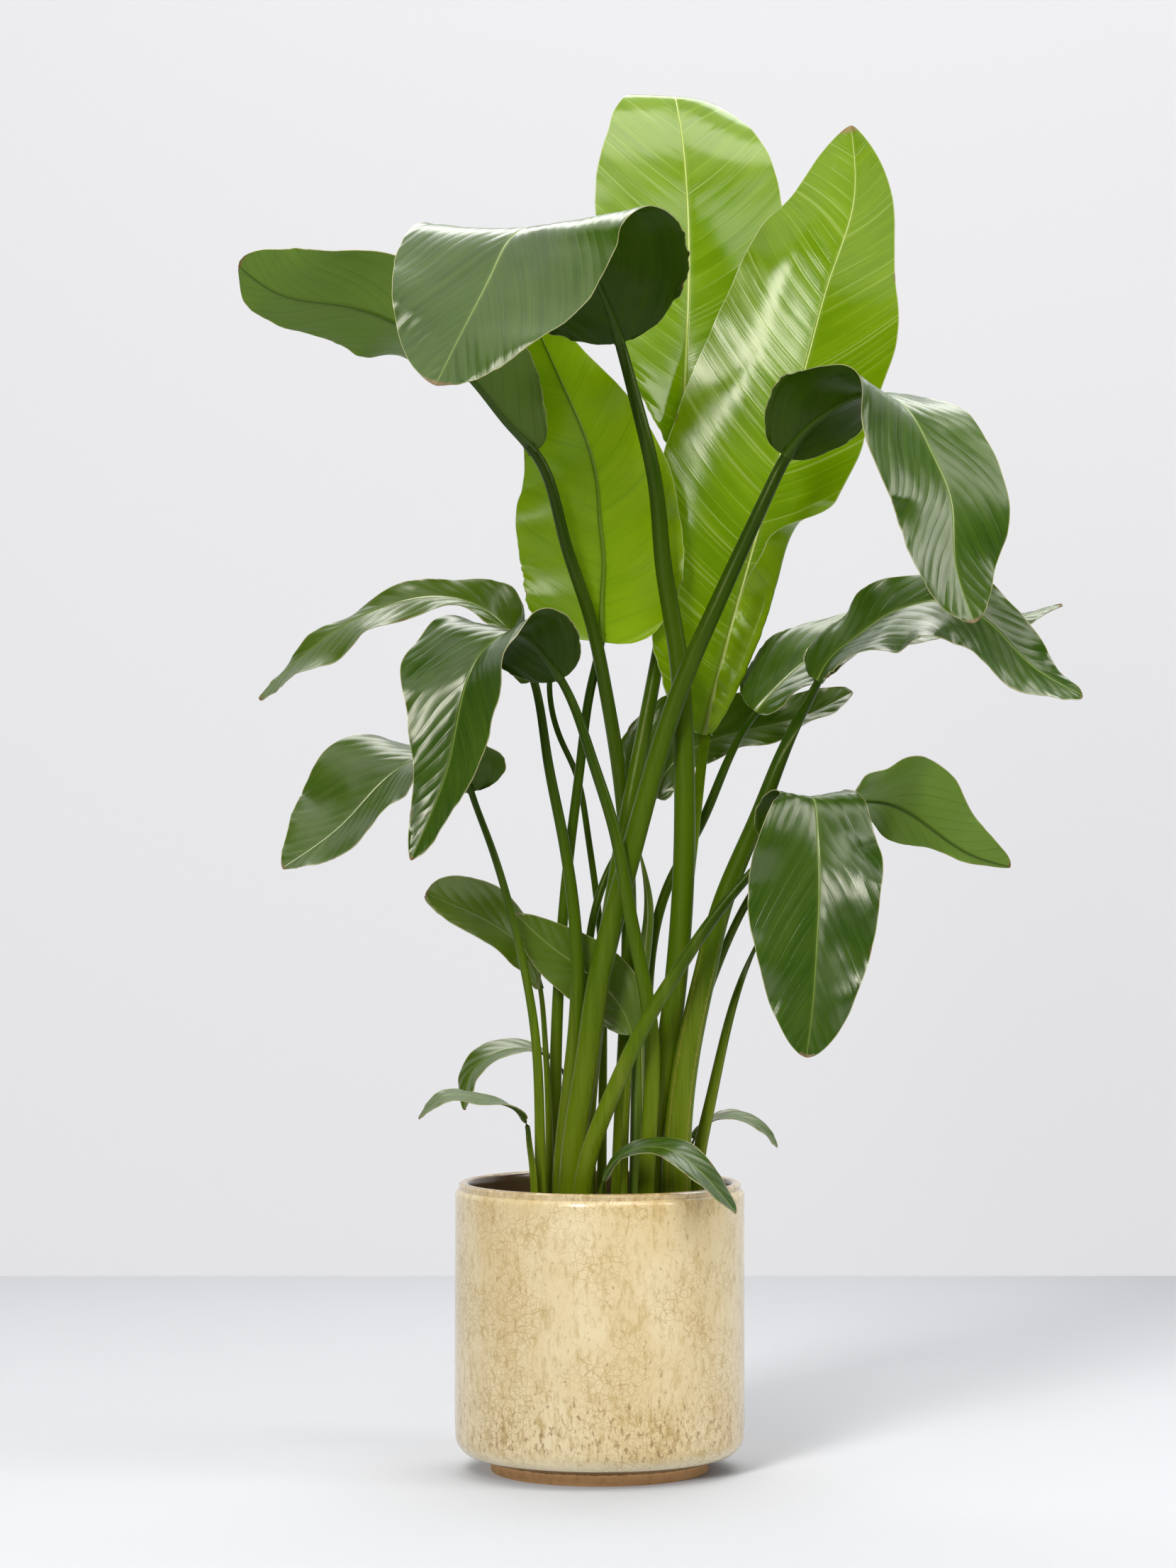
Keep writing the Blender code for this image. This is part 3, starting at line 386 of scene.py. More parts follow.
leaves = {
    "leaf_01": dict(
        stalk=[(-0.020, 0.012, 0.270), (-0.016, 0.022, 0.400), (-0.002, 0.030, 0.530),
               (0.011, 0.032, 0.620), (0.024, 0.034, 0.700), (0.041, 0.044, 0.790),
               (0.061, 0.074, 0.892), (0.080, 0.100, 1.005)],
        rib=[(0.095, 0.114, 1.163), (0.102, 0.130, 1.302), (0.105, 0.148, 1.393),
             (0.103, 0.168, 1.478), (0.098, 0.194, 1.545), (0.093, 0.218, 1.583),
             (0.089, 0.247, 1.6050), (0.085, 0.285, 1.594)],
        face=[(0.15, -1, 0.1), (0.2, -1, 0.3), (0.15, -0.8, 0.8), (0.1, 0.2, 1)],
        lift=[(28, 28), (14, 14), (8, 8), (0, 0)], curl=[(-8, -8), (-5, -5), (-5, -5), (-15, -15)],
        width=(0.112, 0.110), profile=(0.75, 0.6), girth=(0.012, 0.0095, 0.0062),
        trim=[(1, 1), (1, 1), (1, 1), (1, 1), (0.92, 0.93), (0.62, 0.68)], wave=(0.002, 2.5, 0.1)),
    "leaf_02": dict(
        stalk=[(0.070, 0.012, 0.270), (0.072, 0.014, 0.400), (0.083, 0.018, 0.520),
               (0.098, 0.026, 0.640), (0.113, 0.038, 0.769)],
        rib=[(0.1215, 0.046, 0.836), (0.141, 0.055, 0.922), (0.165, 0.062, 1.009),
             (0.198, 0.070, 1.124), (0.241, 0.080, 1.272), (0.269, 0.095, 1.371),
             (0.296, 0.118, 1.455), (0.295, 0.150, 1.552)],
        face=[(-0.3, -1, 0), (-0.3, -1, 0), (-0.3, -1, 0.2), (-0.3, -1, 0.4)],
        lift=[(35, 5), (12, 5), (8, 10), (8, 10)],
        curl=[(0, 160), (0, 175), (0, 180), (-5, 120), (-5, 15), (-5, 0), (-5, 0), (-8, 0), (-10, 0),
              (-10, 0), (-10, 0)], turn=(0.42, 0.66),
        width=(0.128, 0.112), profile=(0.6, 0.75), girth=(0.009, 0.007, 0.006),
        wave=(0.0015, 2.5, 0.3),
        trim=[(1, 0.9), (1, 0.9), (1, 0.70), (1, 0.83), (1, 1.05), (1.15, 0.85), (1.4, 0.8)]),
    "leaf_03": dict(
        stalk=[(0.058, -0.018, 0.270), (0.061, -0.018, 0.380), (0.078, -0.018, 0.490),
               (0.087, -0.014, 0.562), (0.096, -0.008, 0.700), (0.096, -0.006, 0.811),
               (0.088, -0.008, 0.934), (0.072, -0.014, 1.031), (0.0635, -0.018, 1.117),
               (0.046, -0.020, 1.195)],
        rib=[(0.023, -0.020, 1.280), (0.012, -0.040, 1.312), (-0.010, -0.070, 1.357),
             (-0.047, -0.115, 1.394), (-0.0895, -0.160, 1.389), (-0.1175, -0.200, 1.339),
             (-0.1435, -0.235, 1.282), (-0.177, -0.270, 1.209)],
        face=[(0.1, 0.85, 0.5), (0, 0.1, 1), (-0.1, -0.6, 0.7), (-0.2, -0.85, 0.5)],
        lift=[(15, 10), (3, -6), (5, 2), (5, 5)],
        width=(0.140, 0.125), profile=(0.5, 0.6), girth=(0.0125, 0.0120, 0.0062),
        trim=[(1, 1.1), (0.98, 1.32), (1, 1.12), (1, 1), (1, 1), (1, 1)], wave=(0.006, 3.5, 0.2)),
    "leaf_04": dict(
        stalk=[(0.020, 0.040, 0.270), (0.028, 0.048, 0.450), (0.034, 0.059, 0.600),
               (0.0290, 0.064, 0.735), (0.0225, 0.055, 0.793), (0.007, 0.018, 0.886),
               (-0.013, -0.004, 0.976), (-0.040, -0.012, 1.058)],
        rib=[(-0.074, -0.015, 1.156), (-0.1015, -0.020, 1.185), (-0.146, -0.030, 1.238),
             (-0.1885, -0.040, 1.273), (-0.2375, -0.050, 1.303), (-0.2985, -0.060, 1.320),
             (-0.3555, -0.065, 1.329), (-0.4085, -0.070, 1.364)],
        face=[(-0.2, 0.7, 0.6), (-0.15, 0.64, 0.77), (-0.1, 0.6, 0.8)],
        lift=[(10, 95), (10, 80), (10, 35), (8, 12), (5, 5), (5, 5)],
        width=(0.088, 0.078), profile=(0.55, 0.50), girth=(0.009, 0.0085, 0.006),
        wave=(0.004, 3.0, 0.6),
        trim=[(1, 1), (0.95, 1), (0.85, 1), (0.95, 0.9), (1.1, 0.8)]),
    "leaf_05": dict(
        stalk=[(-0.050, 0.036, 0.270), (-0.051, 0.034, 0.400), (-0.047, 0.032, 0.549),
               (-0.036, 0.030, 0.690), (-0.021, 0.025, 0.812), (-0.010, 0.022, 0.890)],
        rib=[(0.001, 0.021, 0.942), (0.003, 0.022, 0.990), (0.005, 0.023, 1.034),
             (0.001, 0.024, 1.077), (-0.003, 0.024, 1.125), (-0.012, 0.024, 1.164),
             (-0.026, 0.022, 1.200), (-0.054, 0.020, 1.262), (-0.080, 0.020, 1.322)],
        face=[(0, 1, 0.1), (0, 1, 0.1), (0, 1, 0)],
        lift=[(5, 18), (3, 14), (3, 8)], curl=[(-5, -10), (0, -5), (0, 0)],
        width=(0.089, 0.098), profile=(0.35, 0.75), girth=(0.008, 0.0062, 0.005),
        trim=[(1.05, 1.05), (1.02, 1.0), (1, 0.98), (0.92, 0.9), (0.85, 0.85), (0.9, 0.9)],
        wave=(0.005, 4.0, 0.0)),
    "leaf_06": dict(
        stalk=[(-0.034, -0.028, 0.270), (-0.030, -0.028, 0.365), (-0.013, -0.028, 0.478),
               (-0.004, -0.028, 0.543), (0.010, -0.028, 0.607), (0.036, -0.028, 0.704),
               (0.073, -0.034, 0.835), (0.1015, -0.038, 0.914), (0.125, -0.042, 0.967),
               (0.160, -0.043, 1.044), (0.189, -0.048, 1.107)],
        rib=[(0.210, -0.050, 1.149), (0.229, -0.065, 1.175), (0.263, -0.090, 1.201),
             (0.298, -0.115, 1.214), (0.332, -0.140, 1.201), (0.363, -0.165, 1.148),
             (0.385, -0.180, 1.089), (0.388, -0.190, 1.027), (0.409, -0.200, 0.956)],
        face=[(0, 0.8, 0.55), (0, 0.1, 1), (0.35, -0.85, 0.4), (0.35, -0.85, 0.2)],
        lift=[(15, 15), (10, 10), (12, 12), (5, 5)],
        width=(0.080, 0.080), profile=(0.5, 0.6), girth=(0.0135, 0.0120, 0.0068),
        trim=[(1, 1.05), (1.05, 1.1), (0.84, 1.26), (0.88, 1.20), (0.95, 1.10), (1, 1)],
        wave=(0.003, 4.0, 0.4)),
    "leaf_07": dict(
        stalk=[(-0.046, -0.006, 0.270), (-0.043, -0.006, 0.350), (-0.030, -0.006, 0.478),
               (-0.0255, -0.006, 0.560), (-0.031, -0.005, 0.650), (-0.043, -0.003, 0.726),
               (-0.060, 0.000, 0.812)],
        rib=[(-0.075, 0.000, 0.897), (-0.095, 0.002, 0.942), (-0.130, 0.006, 0.978),
             (-0.180, 0.010, 0.993), (-0.240, 0.015, 0.984), (-0.300, 0.020, 0.956),
             (-0.345, 0.025, 0.921), (-0.390, 0.030, 0.877)],
        face=[(-0.3, 0.3, 0.5), (0, 0, 1), (0, 0, 1)],
        lift=[(-30, 70), (-30, 60), (-35, 40), (-30, 30)],
        width=(0.040, 0.027), profile=(0.42, 0.6), girth=(0.0105, 0.0075, 0.005),
        trim=[(0.9, 2.2), (0.7, 1.85), (0.65, 0.9), (1.2, 0.7), (1.6, 0.85), (1.4, 1.1)],
        wave=(0.006, 3.5, 0.15)),
    "leaf_08": dict(
        stalk=[(0.050, -0.046, 0.270), (0.055, -0.046, 0.380), (0.058, -0.047, 0.500),
               (0.049, -0.049, 0.560), (0.033, -0.050, 0.640), (0.017, -0.050, 0.726),
               (-0.008, -0.050, 0.806), (-0.030, -0.050, 0.870)],
        rib=[(-0.044, -0.050, 0.898), (-0.060, -0.065, 0.920), (-0.0935, -0.090, 0.949),
             (-0.128, -0.115, 0.930), (-0.154, -0.135, 0.8695), (-0.168, -0.150, 0.798),
             (-0.1845, -0.158, 0.751), (-0.208, -0.165, 0.696)],
        face=[(0.2, 0.85, 0.5), (0, 0.1, 1), (-0.3, -0.85, 0.4), (-0.3, -0.85, 0.2)],
        lift=[(10, 10), (6, 30), (20, 22), (15, 15)],
        width=(0.064, 0.076), profile=(0.42, 0.75), girth=(0.0095, 0.0080, 0.0050),
        trim=[(0.9, 1.1), (0.93, 1.15), (1.02, 1.08), (0.88, 0.78), (0.87, 0.64), (0.95, 0.65)],
        wave=(0.0035, 3.0, 0.7)),
    "leaf_09": dict(
        stalk=[(-0.067, -0.032, 0.270), (-0.068, -0.032, 0.400), (-0.074, -0.032, 0.504),
               (-0.089, -0.032, 0.588), (-0.106, -0.031, 0.656), (-0.125, -0.030, 0.716)],
        rib=[(-0.145, -0.030, 0.771), (-0.158, -0.040, 0.799), (-0.183, -0.050, 0.812),
             (-0.206, -0.060, 0.808), (-0.2475, -0.070, 0.779), (-0.2865, -0.085, 0.736),
             (-0.324, -0.095, 0.706), (-0.354, -0.100, 0.686)],
        face=[(0, 0.3, 1), (-0.2, -0.7, 0.7), (-0.2, -0.75, 0.6)],
        lift=[(10, 0), (30, 0), (20, 0)],
        width=(0.074, 0.096), profile=(0.42, 0.7), girth=(0.007, 0.0050, 0.0042),
        trim=[(1, 1), (1.08, 0.85), (1.12, 0.96), (1.05, 1.03), (1, 1)], wave=(0.0045, 3.0, 0.35)),
    "leaf_10": dict(
        stalk=[(0.088, -0.030, 0.270), (0.089, -0.030, 0.390), (0.103, -0.030, 0.494),
               (0.120, -0.031, 0.570), (0.139, -0.032, 0.645), (0.176, -0.034, 0.736),
               (0.217, -0.035, 0.839)],
        rib=[(0.2455, -0.035, 0.8965), (0.258, -0.040, 0.919), (0.290, -0.050, 0.947),
             (0.3225, -0.060, 0.970), (0.3515, -0.070, 0.981), (0.380, -0.080, 0.985),
             (0.4405, -0.090, 0.956), (0.4750, -0.097, 0.918), (0.5415, -0.105, 0.877)],
        face=[(-0.3, -0.4, 0.8), (-0.1, -0.7, 0.7), (0.1, -0.7, 0.7)],
        lift=[(15, 15), (10, 10), (5, 5)],
        width=(0.050, 0.070), profile=(0.38, 0.7), girth=(0.0165, 0.0125, 0.0060),
        trim=[(1.3, 1.1), (0.95, 1.12), (0.88, 1.28), (0.9, 0.88), (0.9, 1.05), (0.9, 1.25)],
        wave=(0.006, 4.0, 0.1)),
    "leaf_11": dict(
        stalk=[(0.056, 0.042, 0.270), (0.056, 0.042, 0.400), (0.056, 0.046, 0.550),
               (0.082, 0.050, 0.670), (0.116, 0.050, 0.733), (0.156, 0.030, 0.827)],
        rib=[(0.178, 0.020, 0.8625), (0.202, 0.024, 0.890), (0.252, 0.030, 0.932),
             (0.312, 0.035, 0.957), (0.382, 0.040, 0.962), (0.453, 0.045, 0.965),
             (0.532, 0.050, 0.986)],
        face=[(-0.3, -0.6, 0.7), (0, -0.45, 1), (0, -0.5, 0.9)],
        lift=[(10, 10), (0, 0), (-12, 0)],
        width=(0.062, 0.048), profile=(0.38, 0.8), girth=(0.007, 0.0060, 0.0050),
        wave=(0.005, 3.5, 0.55)),
    "leaf_12": dict(
        stalk=[(-0.010, 0.056, 0.270), (-0.012, 0.060, 0.450), (-0.011, 0.068, 0.604),
               (0.013, 0.085, 0.6845)],
        rib=[(0.063, 0.120, 0.765), (0.084, 0.124, 0.802), (0.127, 0.129, 0.830),
             (0.185, 0.134, 0.846), (0.2415, 0.139, 0.861), (0.2965, 0.144, 0.888)],
        face=[(0, -1, 0.3), (0, -0.9, 0.5), (0, -0.6, 0.8)],
        lift=[(10, 10), (10, 10), (10, 10)],
        width=(0.062, 0.024), profile=(0.30, 0.40), girth=(0.006, 0.0050, 0.0042),
        trim=[(1.3, 1), (1.15, 1), (0.72, 1.05), (0.60, 1), (0.6, 1)], wave=(0.005, 3.5, 0.25)),
    "leaf_13": dict(
        stalk=[(-0.024, -0.060, 0.270), (-0.014, -0.066, 0.3555), (0.0115, -0.074, 0.4265),
               (0.049, -0.078, 0.508), (0.091, -0.080, 0.577), (0.146, -0.080, 0.654)],
        rib=[(0.192, -0.080, 0.7115), (0.211, -0.090, 0.745), (0.2345, -0.108, 0.766),
             (0.241, -0.125, 0.729), (0.2425, -0.135, 0.6885), (0.242, -0.143, 0.649),
             (0.2395, -0.150, 0.609), (0.2355, -0.158, 0.549), (0.227, -0.165, 0.479)],
        face=[(-0.3, 0.6, 0.6), (0, -0.8, 0.6), (0, -1, 0.2), (0, -1, 0.2)],
        lift=[(-35, 25), (-20, 32), (8, 10), (8, 8), (5, 5)],
        width=(0.070, 0.077), profile=(0.45, 0.6), girth=(0.0110, 0.0085, 0.0050),
        trim=[(0.9, 0.7), (0.9, 0.68), (0.98, 1.0), (0.96, 1.04), (0.95, 1.0), (0.98, 0.95)],
        wave=(0.004, 3.5, 0.45)),
    "leaf_14": dict(
        stalk=[(0.085, 0.040, 0.270), (0.098, 0.034, 0.450), (0.132, 0.020, 0.565),
               (0.171, 0.002, 0.651), (0.210, -0.012, 0.705)],
        rib=[(0.246, -0.014, 0.738), (0.278, -0.010, 0.756), (0.308, -0.006, 0.7605),
             (0.347, -0.004, 0.750), (0.384, -0.006, 0.7245), (0.424, -0.010, 0.699),
             (0.4663, -0.014, 0.686)],
        face=[(-0.4, -0.6, 0.7), (-0.6, 0.2, 0.8), (0.2, 0.8, 0.5), (0.3, 0.9, 0.3), (0.3, 0.9, 0.3)],
        lift=[(5, 10), (0, 5), (8, 5), (5, 0)],
        width=(0.042, 0.070), profile=(0.40, 0.6), girth=(0.006, 0.0050, 0.0042),
        trim=[(1, 0.8), (1.1, 1.25), (1.05, 0.98), (0.35, 0.72), (0.3, 0.8)], wave=(0.003, 3.0, 0.5)),
    "leaf_15": dict(
        stalk=[(-0.058, 0.008, 0.270), (-0.058, 0.016, 0.397), (-0.063, 0.030, 0.494)],
        rib=[(-0.068, 0.036, 0.545), (-0.078, 0.037, 0.578), (-0.104, 0.036, 0.606),
             (-0.137, 0.034, 0.627), (-0.170, 0.030, 0.642), (-0.199, 0.024, 0.655)],
        face=[(-0.4, -0.6, 0.5), (-0.2, -0.7, 0.6), (0.1, -0.7, 0.7)],
        lift=[(10, 25), (10, 25), (10, 35)], curl=[(0, 20), (0, 20), (10, 30)],
        width=(0.027, 0.040), profile=(0.6, 0.45), girth=(0.0062, 0.0040, 0.0030),
        trim=[(0.8, 0.3), (1, 0.75), (1.1, 1), (1.5, 1.1)], wave=(0.002, 2.0, 0.3)),
    "leaf_16": dict(
        stalk=[(0.027, -0.004, 0.270), (0.029, -0.003, 0.380), (0.034, 0.000, 0.460)],
        rib=[(0.036, 0.006, 0.494), (0.020, 0.012, 0.532), (-0.010, 0.015, 0.562),
             (-0.050, 0.015, 0.590), (-0.095, 0.012, 0.631)],
        face=[(-0.2, -1, 0.2), (0, -1, 0.2), (0, -1, 0.2)],
        lift=[(5, 5), (3, 3), (3, 3)],
        width=(0.036, 0.036), profile=(0.5, 0.7), girth=(0.005, 0.0040, 0.0030)),
    "leaf_17": dict(
        stalk=[(-0.030, 0.074, 0.270), (-0.034, 0.074, 0.400)],
        rib=[(-0.048, 0.072, 0.458), (-0.080, 0.066, 0.474), (-0.118, 0.060, 0.470),
             (-0.147, 0.055, 0.447), (-0.155, 0.052, 0.405)],
        face=[(0, 0, 1), (-0.1, -0.3, 0.9), (-0.6, -0.4, 0.5)],
        lift=[(10, 10), (10, 10), (5, 5)],
        width=(0.026, 0.026), profile=(0.5, 0.7), girth=(0.0045, 0.0036, 0.0028)),
    "leaf_18": dict(
        stalk=[(-0.074, -0.054, 0.270), (-0.0765, -0.055, 0.355), (-0.080, -0.055, 0.381)],
        rib=[(-0.084, -0.056, 0.402), (-0.100, -0.060, 0.418), (-0.130, -0.066, 0.425),
             (-0.170, -0.072, 0.430), (-0.203, -0.078, 0.405)],
        face=[(-0.3, 0, 1), (-0.1, -0.2, 1), (-0.5, -0.2, 0.7)],
        lift=[(5, 5), (0, 5), (0, 5)],
        width=(0.024, 0.024), profile=(0.6, 0.6), girth=(0.0050, 0.0040, 0.0028)),
    "leaf_19": dict(
        stalk=[(-0.003, -0.086, 0.270), (-0.002, -0.088, 0.312)],
        rib=[(0.0036, -0.090, 0.336), (0.018, -0.095, 0.360), (0.045, -0.105, 0.374),
             (0.075, -0.116, 0.374), (0.107, -0.130, 0.354), (0.150, -0.150, 0.306)],
        face=[(-0.3, -0.3, 0.8), (0, -0.3, 1), (0.3, -0.3, 0.8)],
        lift=[(5, 5), (5, 5), (5, 5)],
        width=(0.025, 0.025), profile=(0.6, 0.6), girth=(0.0040, 0.0032, 0.0026)),
    "leaf_20": dict(
        stalk=[(0.098, 0.052, 0.270), (0.100, 0.052, 0.335)],
        rib=[(0.108, 0.052, 0.372), (0.130, 0.050, 0.394), (0.158, 0.048, 0.398),
             (0.184, 0.046, 0.387), (0.204, 0.044, 0.363)],
        face=[(-0.4, 0, 0.8), (0, -0.2, 1), (0.4, -0.2, 0.7)],
        lift=[(5, 5), (5, 5), (5, 5)],
        width=(0.018, 0.018), profile=(0.6, 0.6), girth=(0.0040, 0.0032, 0.0024)),
    "leaf_21": dict(
        stalk=[(0.106, 0.014, 0.270), (0.114, 0.014, 0.360), (0.124, 0.014, 0.407),
               (0.145, 0.014, 0.500), (0.166, 0.012, 0.570)],
        rib=[(0.180, 0.008, 0.604), (0.205, 0.000, 0.650), (0.235, -0.008, 0.672),
             (0.268, -0.016, 0.660), (0.292, -0.024, 0.610)],
        face=[(-0.4, 0, 0.8), (0, -0.3, 1), (0.6, -0.4, 0.6)],
        lift=[(5, 5), (5, 5), (5, 5)],
        width=(0.030, 0.030), profile=(0.5, 0.7), girth=(0.0100, 0.0062, 0.0040)),
    "leaf_22": dict(
        stalk=[(0.002, 0.074, 0.270), (0.004, 0.080, 0.450), (0.000, 0.086, 0.618),
               (-0.015, 0.092, 0.732), (-0.029, 0.098, 0.797), (-0.045, 0.104, 0.832)],
        rib=[(-0.058, 0.110, 0.905), (-0.050, 0.125, 0.950), (-0.038, 0.155, 1.000),
             (-0.025, 0.200, 1.045), (-0.005, 0.255, 1.060), (0.010, 0.310, 1.035)],
        face=[(-0.4, -0.8, 0.3), (0, -0.3, 1), (0, 0.2, 1)],
        lift=[(10, 10), (10, 10), (5, 5)],
        width=(0.034, 0.034), profile=(0.5, 0.7), girth=(0.0060, 0.0042, 0.0034)),
}


def unit(vectors):
    return vectors / np.linalg.norm(vectors, axis=-1, keepdims=True)


class SmoothLine:  # a natural cubic spline, measured by the length of its chords
    def __init__(self, points):
        self.points = np.asarray(points, float)
        chords = np.linalg.norm(np.diff(self.points, axis=0), axis=1)
        self.knots = np.concatenate([[0.0], np.cumsum(chords)])
        count = len(self.points)
        matrix = np.zeros((count, count))
        right = np.zeros_like(self.points)
        matrix[0, 0] = matrix[-1, -1] = 1.0
        slope = np.diff(self.points, axis=0) / chords[:, None]
        for i in range(1, count - 1):
            matrix[i, i - 1:i + 2] = chords[i - 1], 2.0 * (chords[i - 1] + chords[i]), chords[i]
            right[i] = 6.0 * (slope[i] - slope[i - 1])
        self.bend = np.linalg.solve(matrix, right)

    def at(self, s):
        s = np.asarray(s, float)
        i = np.clip(np.searchsorted(self.knots, s) - 1, 0, len(self.knots) - 2)
        h = (self.knots[i + 1] - self.knots[i])[:, None]
        a = self.knots[i + 1][:, None] - s[:, None]
        b = s[:, None] - self.knots[i][:, None]
        low, high = self.bend[i], self.bend[i + 1]
        place = low * a**3 / (6 * h) + high * b**3 / (6 * h)
        start, stop = self.points[i] / h - low * h / 6, self.points[i + 1] / h - high * h / 6
        return place + start * a + stop * b

    def ahead(self, s):
        return unit(self.at(s + 1e-4) - self.at(s - 1e-4))


def spread(values, t):  # a list of numbers or vectors as a smooth run over t from 0 to 1
    values = np.asarray(values, float)
    place = np.clip(t, 0, 1) * (len(values) - 1)
    i = np.minimum(place.astype(int), len(values) - 2)
    part = place - i
    part = (part * part * (3 - 2 * part))[:, None]
    return values[i] * (1 - part) + values[i + 1] * part


def framesAt(line, s, facing):  # the place, the way up and the way to the right at each s
    ahead = line.ahead(s)
    up = unit(facing - ahead * np.sum(facing * ahead, axis=1, keepdims=True))
    return line.at(s), up, np.cross(ahead, up)


def leafLine(leaf):  # the line, and how far along it the blade starts and ends
    line = SmoothLine(leaf["stalk"] + leaf["rib"])
    return line, line.knots[len(leaf["stalk"])], line.knots[-1]


# leaf blades

plainPair = [(1, 1), (1, 1)]
flatPair = [(0, 0), (0, 0)]
blade = dict(
    thickness=0.0009, tipHalfWidth=0.0008, tipFade=0.8, ribStart=0.45, ribFade=0.05, ridgeDepth=1.1,
    channelDepth=0.30, channelWidth=0.62, rowStep=0.0036, columnStep=0.0048, endRows=14, baseColumns=7,
    ribSteps=(0.0, 0.3, 0.58, 0.82, 1.0), angleSteps=25, waveShift=0.35,
    veinSlant=(1.1, 1.8), veinCurve=0.35, creaseSpacing=0.024, creaseDepth=0.0006,
    edgeRipple=0.0045, baseFrill=0.012, swell=0.0030, swellSize=0.060,
    edgeNibble=0.010, nibbleWaves=((3, 0.4), (7, 0.35), (13, 0.25)),     # waves in the length, and size
    baseRagged=0.028, raggedWaves=((19, 0.5), (31, 0.3), (47, 0.3)), raggedRun=0.32,
)
youngBlade = dict(creaseSpacing=0.021, creaseDepth=0.00012, edgeRipple=0.0015, swell=0.0005,
                  veinSlant=(0.32, 0.85), veinCurve=0.15)
youngLeaves = ("leaf_01", "leaf_02", "leaf_05")
bladeSizes = ("creaseSpacing", "creaseDepth", "edgeRipple", "baseFrill", "thickness", "channelDepth",
              "channelWidth", "ridgeDepth", "swell", "swellSize")
freshAndLitBlades = dict(leaf_04=0.55, leaf_07=0.35, leaf_09=0.18, leaf_12=0.30, leaf_14=0.80, leaf_15=0.75,
                 leaf_16=0.60, leaf_17=0.35, leaf_18=0.30, leaf_20=0.3,
                 leaf_21=0.3)      # how far each blade's green goes toward its fresh shade: partly a fresher leaf, partly painted light and sheen on blades that catch more light
relief = dict(   # noise: how dense across the veins and along them, and a shift; runs: from and to
    wander=(35.0, 0.4, 0.0), wanderSize=0.8, depth=(9.0, 1.3, 3.0), depthGain=2.2, depthLoss=0.2,
    ripple=(24.0, 0.8, 9.0), frill=(62.0, 0.6, 13.0), frillRun=(0.04, 0.34), seedStep=7.3,
    foldRound=0.8, foldLevel=0.6, besideRib=0.004, edgeRun=(0.75, 1.0), edgeLoss=0.6, swellRun=0.035,
)


def labelOf(size):  # creaseDepth is Crease Depth among a tree's inputs
    return "".join(" " + letter if letter.isupper() else letter for letter in size).title()


def bladeTree():
    tree = ShapeTree("bladeRelief", [(labelOf(size), "Float", blade[size]) for size in bladeSizes] + [
        ("Seed", "Float", 1.0), ("Lower Finish", "Material", None), ("Upper Finish", "Material", None)])
    vein, signed, reach, rib, upper = (tree.field(n) for n in ("vein", "share", "reach", "ribHalf", "upper"))
    share = tree.absolute(signed)

    def streaks(name):  # noise that is long along the veins and short across them
        across, forward, shift = relief[name]
        return tree.noise(tree.spot(vein * across, signed * forward,
                                    tree.given("Seed") * relief["seedStep"] + shift), 1.0, 2.0)

    phase = vein / tree.given("Crease Spacing") + (streaks("wander") - 0.5) * relief["wanderSize"]
    fold = tree.absolute(tree.maths("SINE", phase * math.pi)) ** relief["foldRound"]
    strength = streaks("depth") * relief["depthGain"] - relief["depthLoss"]
    strength = strength * tree.between(reach, rib, rib * 3.0 + relief["besideRib"])
    strength = strength * (1.0 - tree.between(share, *relief["edgeRun"]) * relief["edgeLoss"])
    crease = (fold - relief["foldLevel"]) * strength * tree.given("Crease Depth")
    ripple = share ** 4.0 * (streaks("ripple") - 0.5) * 2.0 * tree.given("Edge Ripple")
    nearBase = tree.outside(tree.field("along"), *relief["frillRun"])
    frill = share ** 5.0 * (streaks("frill") - 0.5) * 2.0 * nearBase * tree.given("Base Frill")
    spot = tree.scaled(tree.node("GeometryNodeInputPosition"), 1.0 / tree.given("Swell Size"))
    swell = (tree.noise(spot, 1.0, 1.0) - 0.5) * 2.0 * tree.given("Swell")
    swell = swell * tree.between(reach, rib, rib + relief["swellRun"])
    inRib = tree.maths("MAXIMUM", 1.0 - (reach / rib) ** 2.0, 0.0)
    inChannel = tree.maths("MAXIMUM", 1.0 - (reach / (rib * tree.given("Channel Width"))) ** 2.0, 0.0)
    half = tree.given("Thickness") * 0.5
    above = half - inChannel * rib * tree.given("Channel Depth")
    below = half + inRib ** 0.5 * rib * tree.given("Ridge Depth")
    shift = crease + ripple + frill + swell + upper * above - (1.0 - upper) * below
    kept = tree.store(tree.store(tree.start, "phase", phase), "strength", strength)
    skin = tree.moved(kept, tree.field("outward", "FLOAT_VECTOR"), shift)
    tree.close(skin, ("Lower Finish", None), ("Upper Finish", tree.maths("GREATER_THAN", upper, 0.3)))
    return tree


def raggedness(t, waves, draw):
    return sum(np.sin(2 * math.pi * (turns * t + draw.random())) * size for turns, size in waves)


def halfWidths(leaf, t, look, draw):
    low, high = leaf["profile"]
    top = low / (low + high)
    full = t**low * (1 - t)**high / (top**low * (1 - top)**high)
    narrowing = look["ribStart"] + (1 - look["ribStart"]) * np.exp(-t / look["ribFade"])
    rib = leaf["girth"][2] * narrowing * (1 - t)**look["tipFade"] + look["tipHalfWidth"]
    trim = spread(leaf.get("trim", plainPair), t)
    sides = []
    for k in (0, 1):
        nibble = raggedness(t, look["nibbleWaves"], draw)
        torn = raggedness(t, look["raggedWaves"], draw) * np.clip(1.1 - t / look["raggedRun"], 0, 1)
        ragged = 1 + look["edgeNibble"] * nibble + look["baseRagged"] * torn
        sides.append(rib + leaf["width"][k] * full * trim[:, k] * ragged)
    return sides, rib


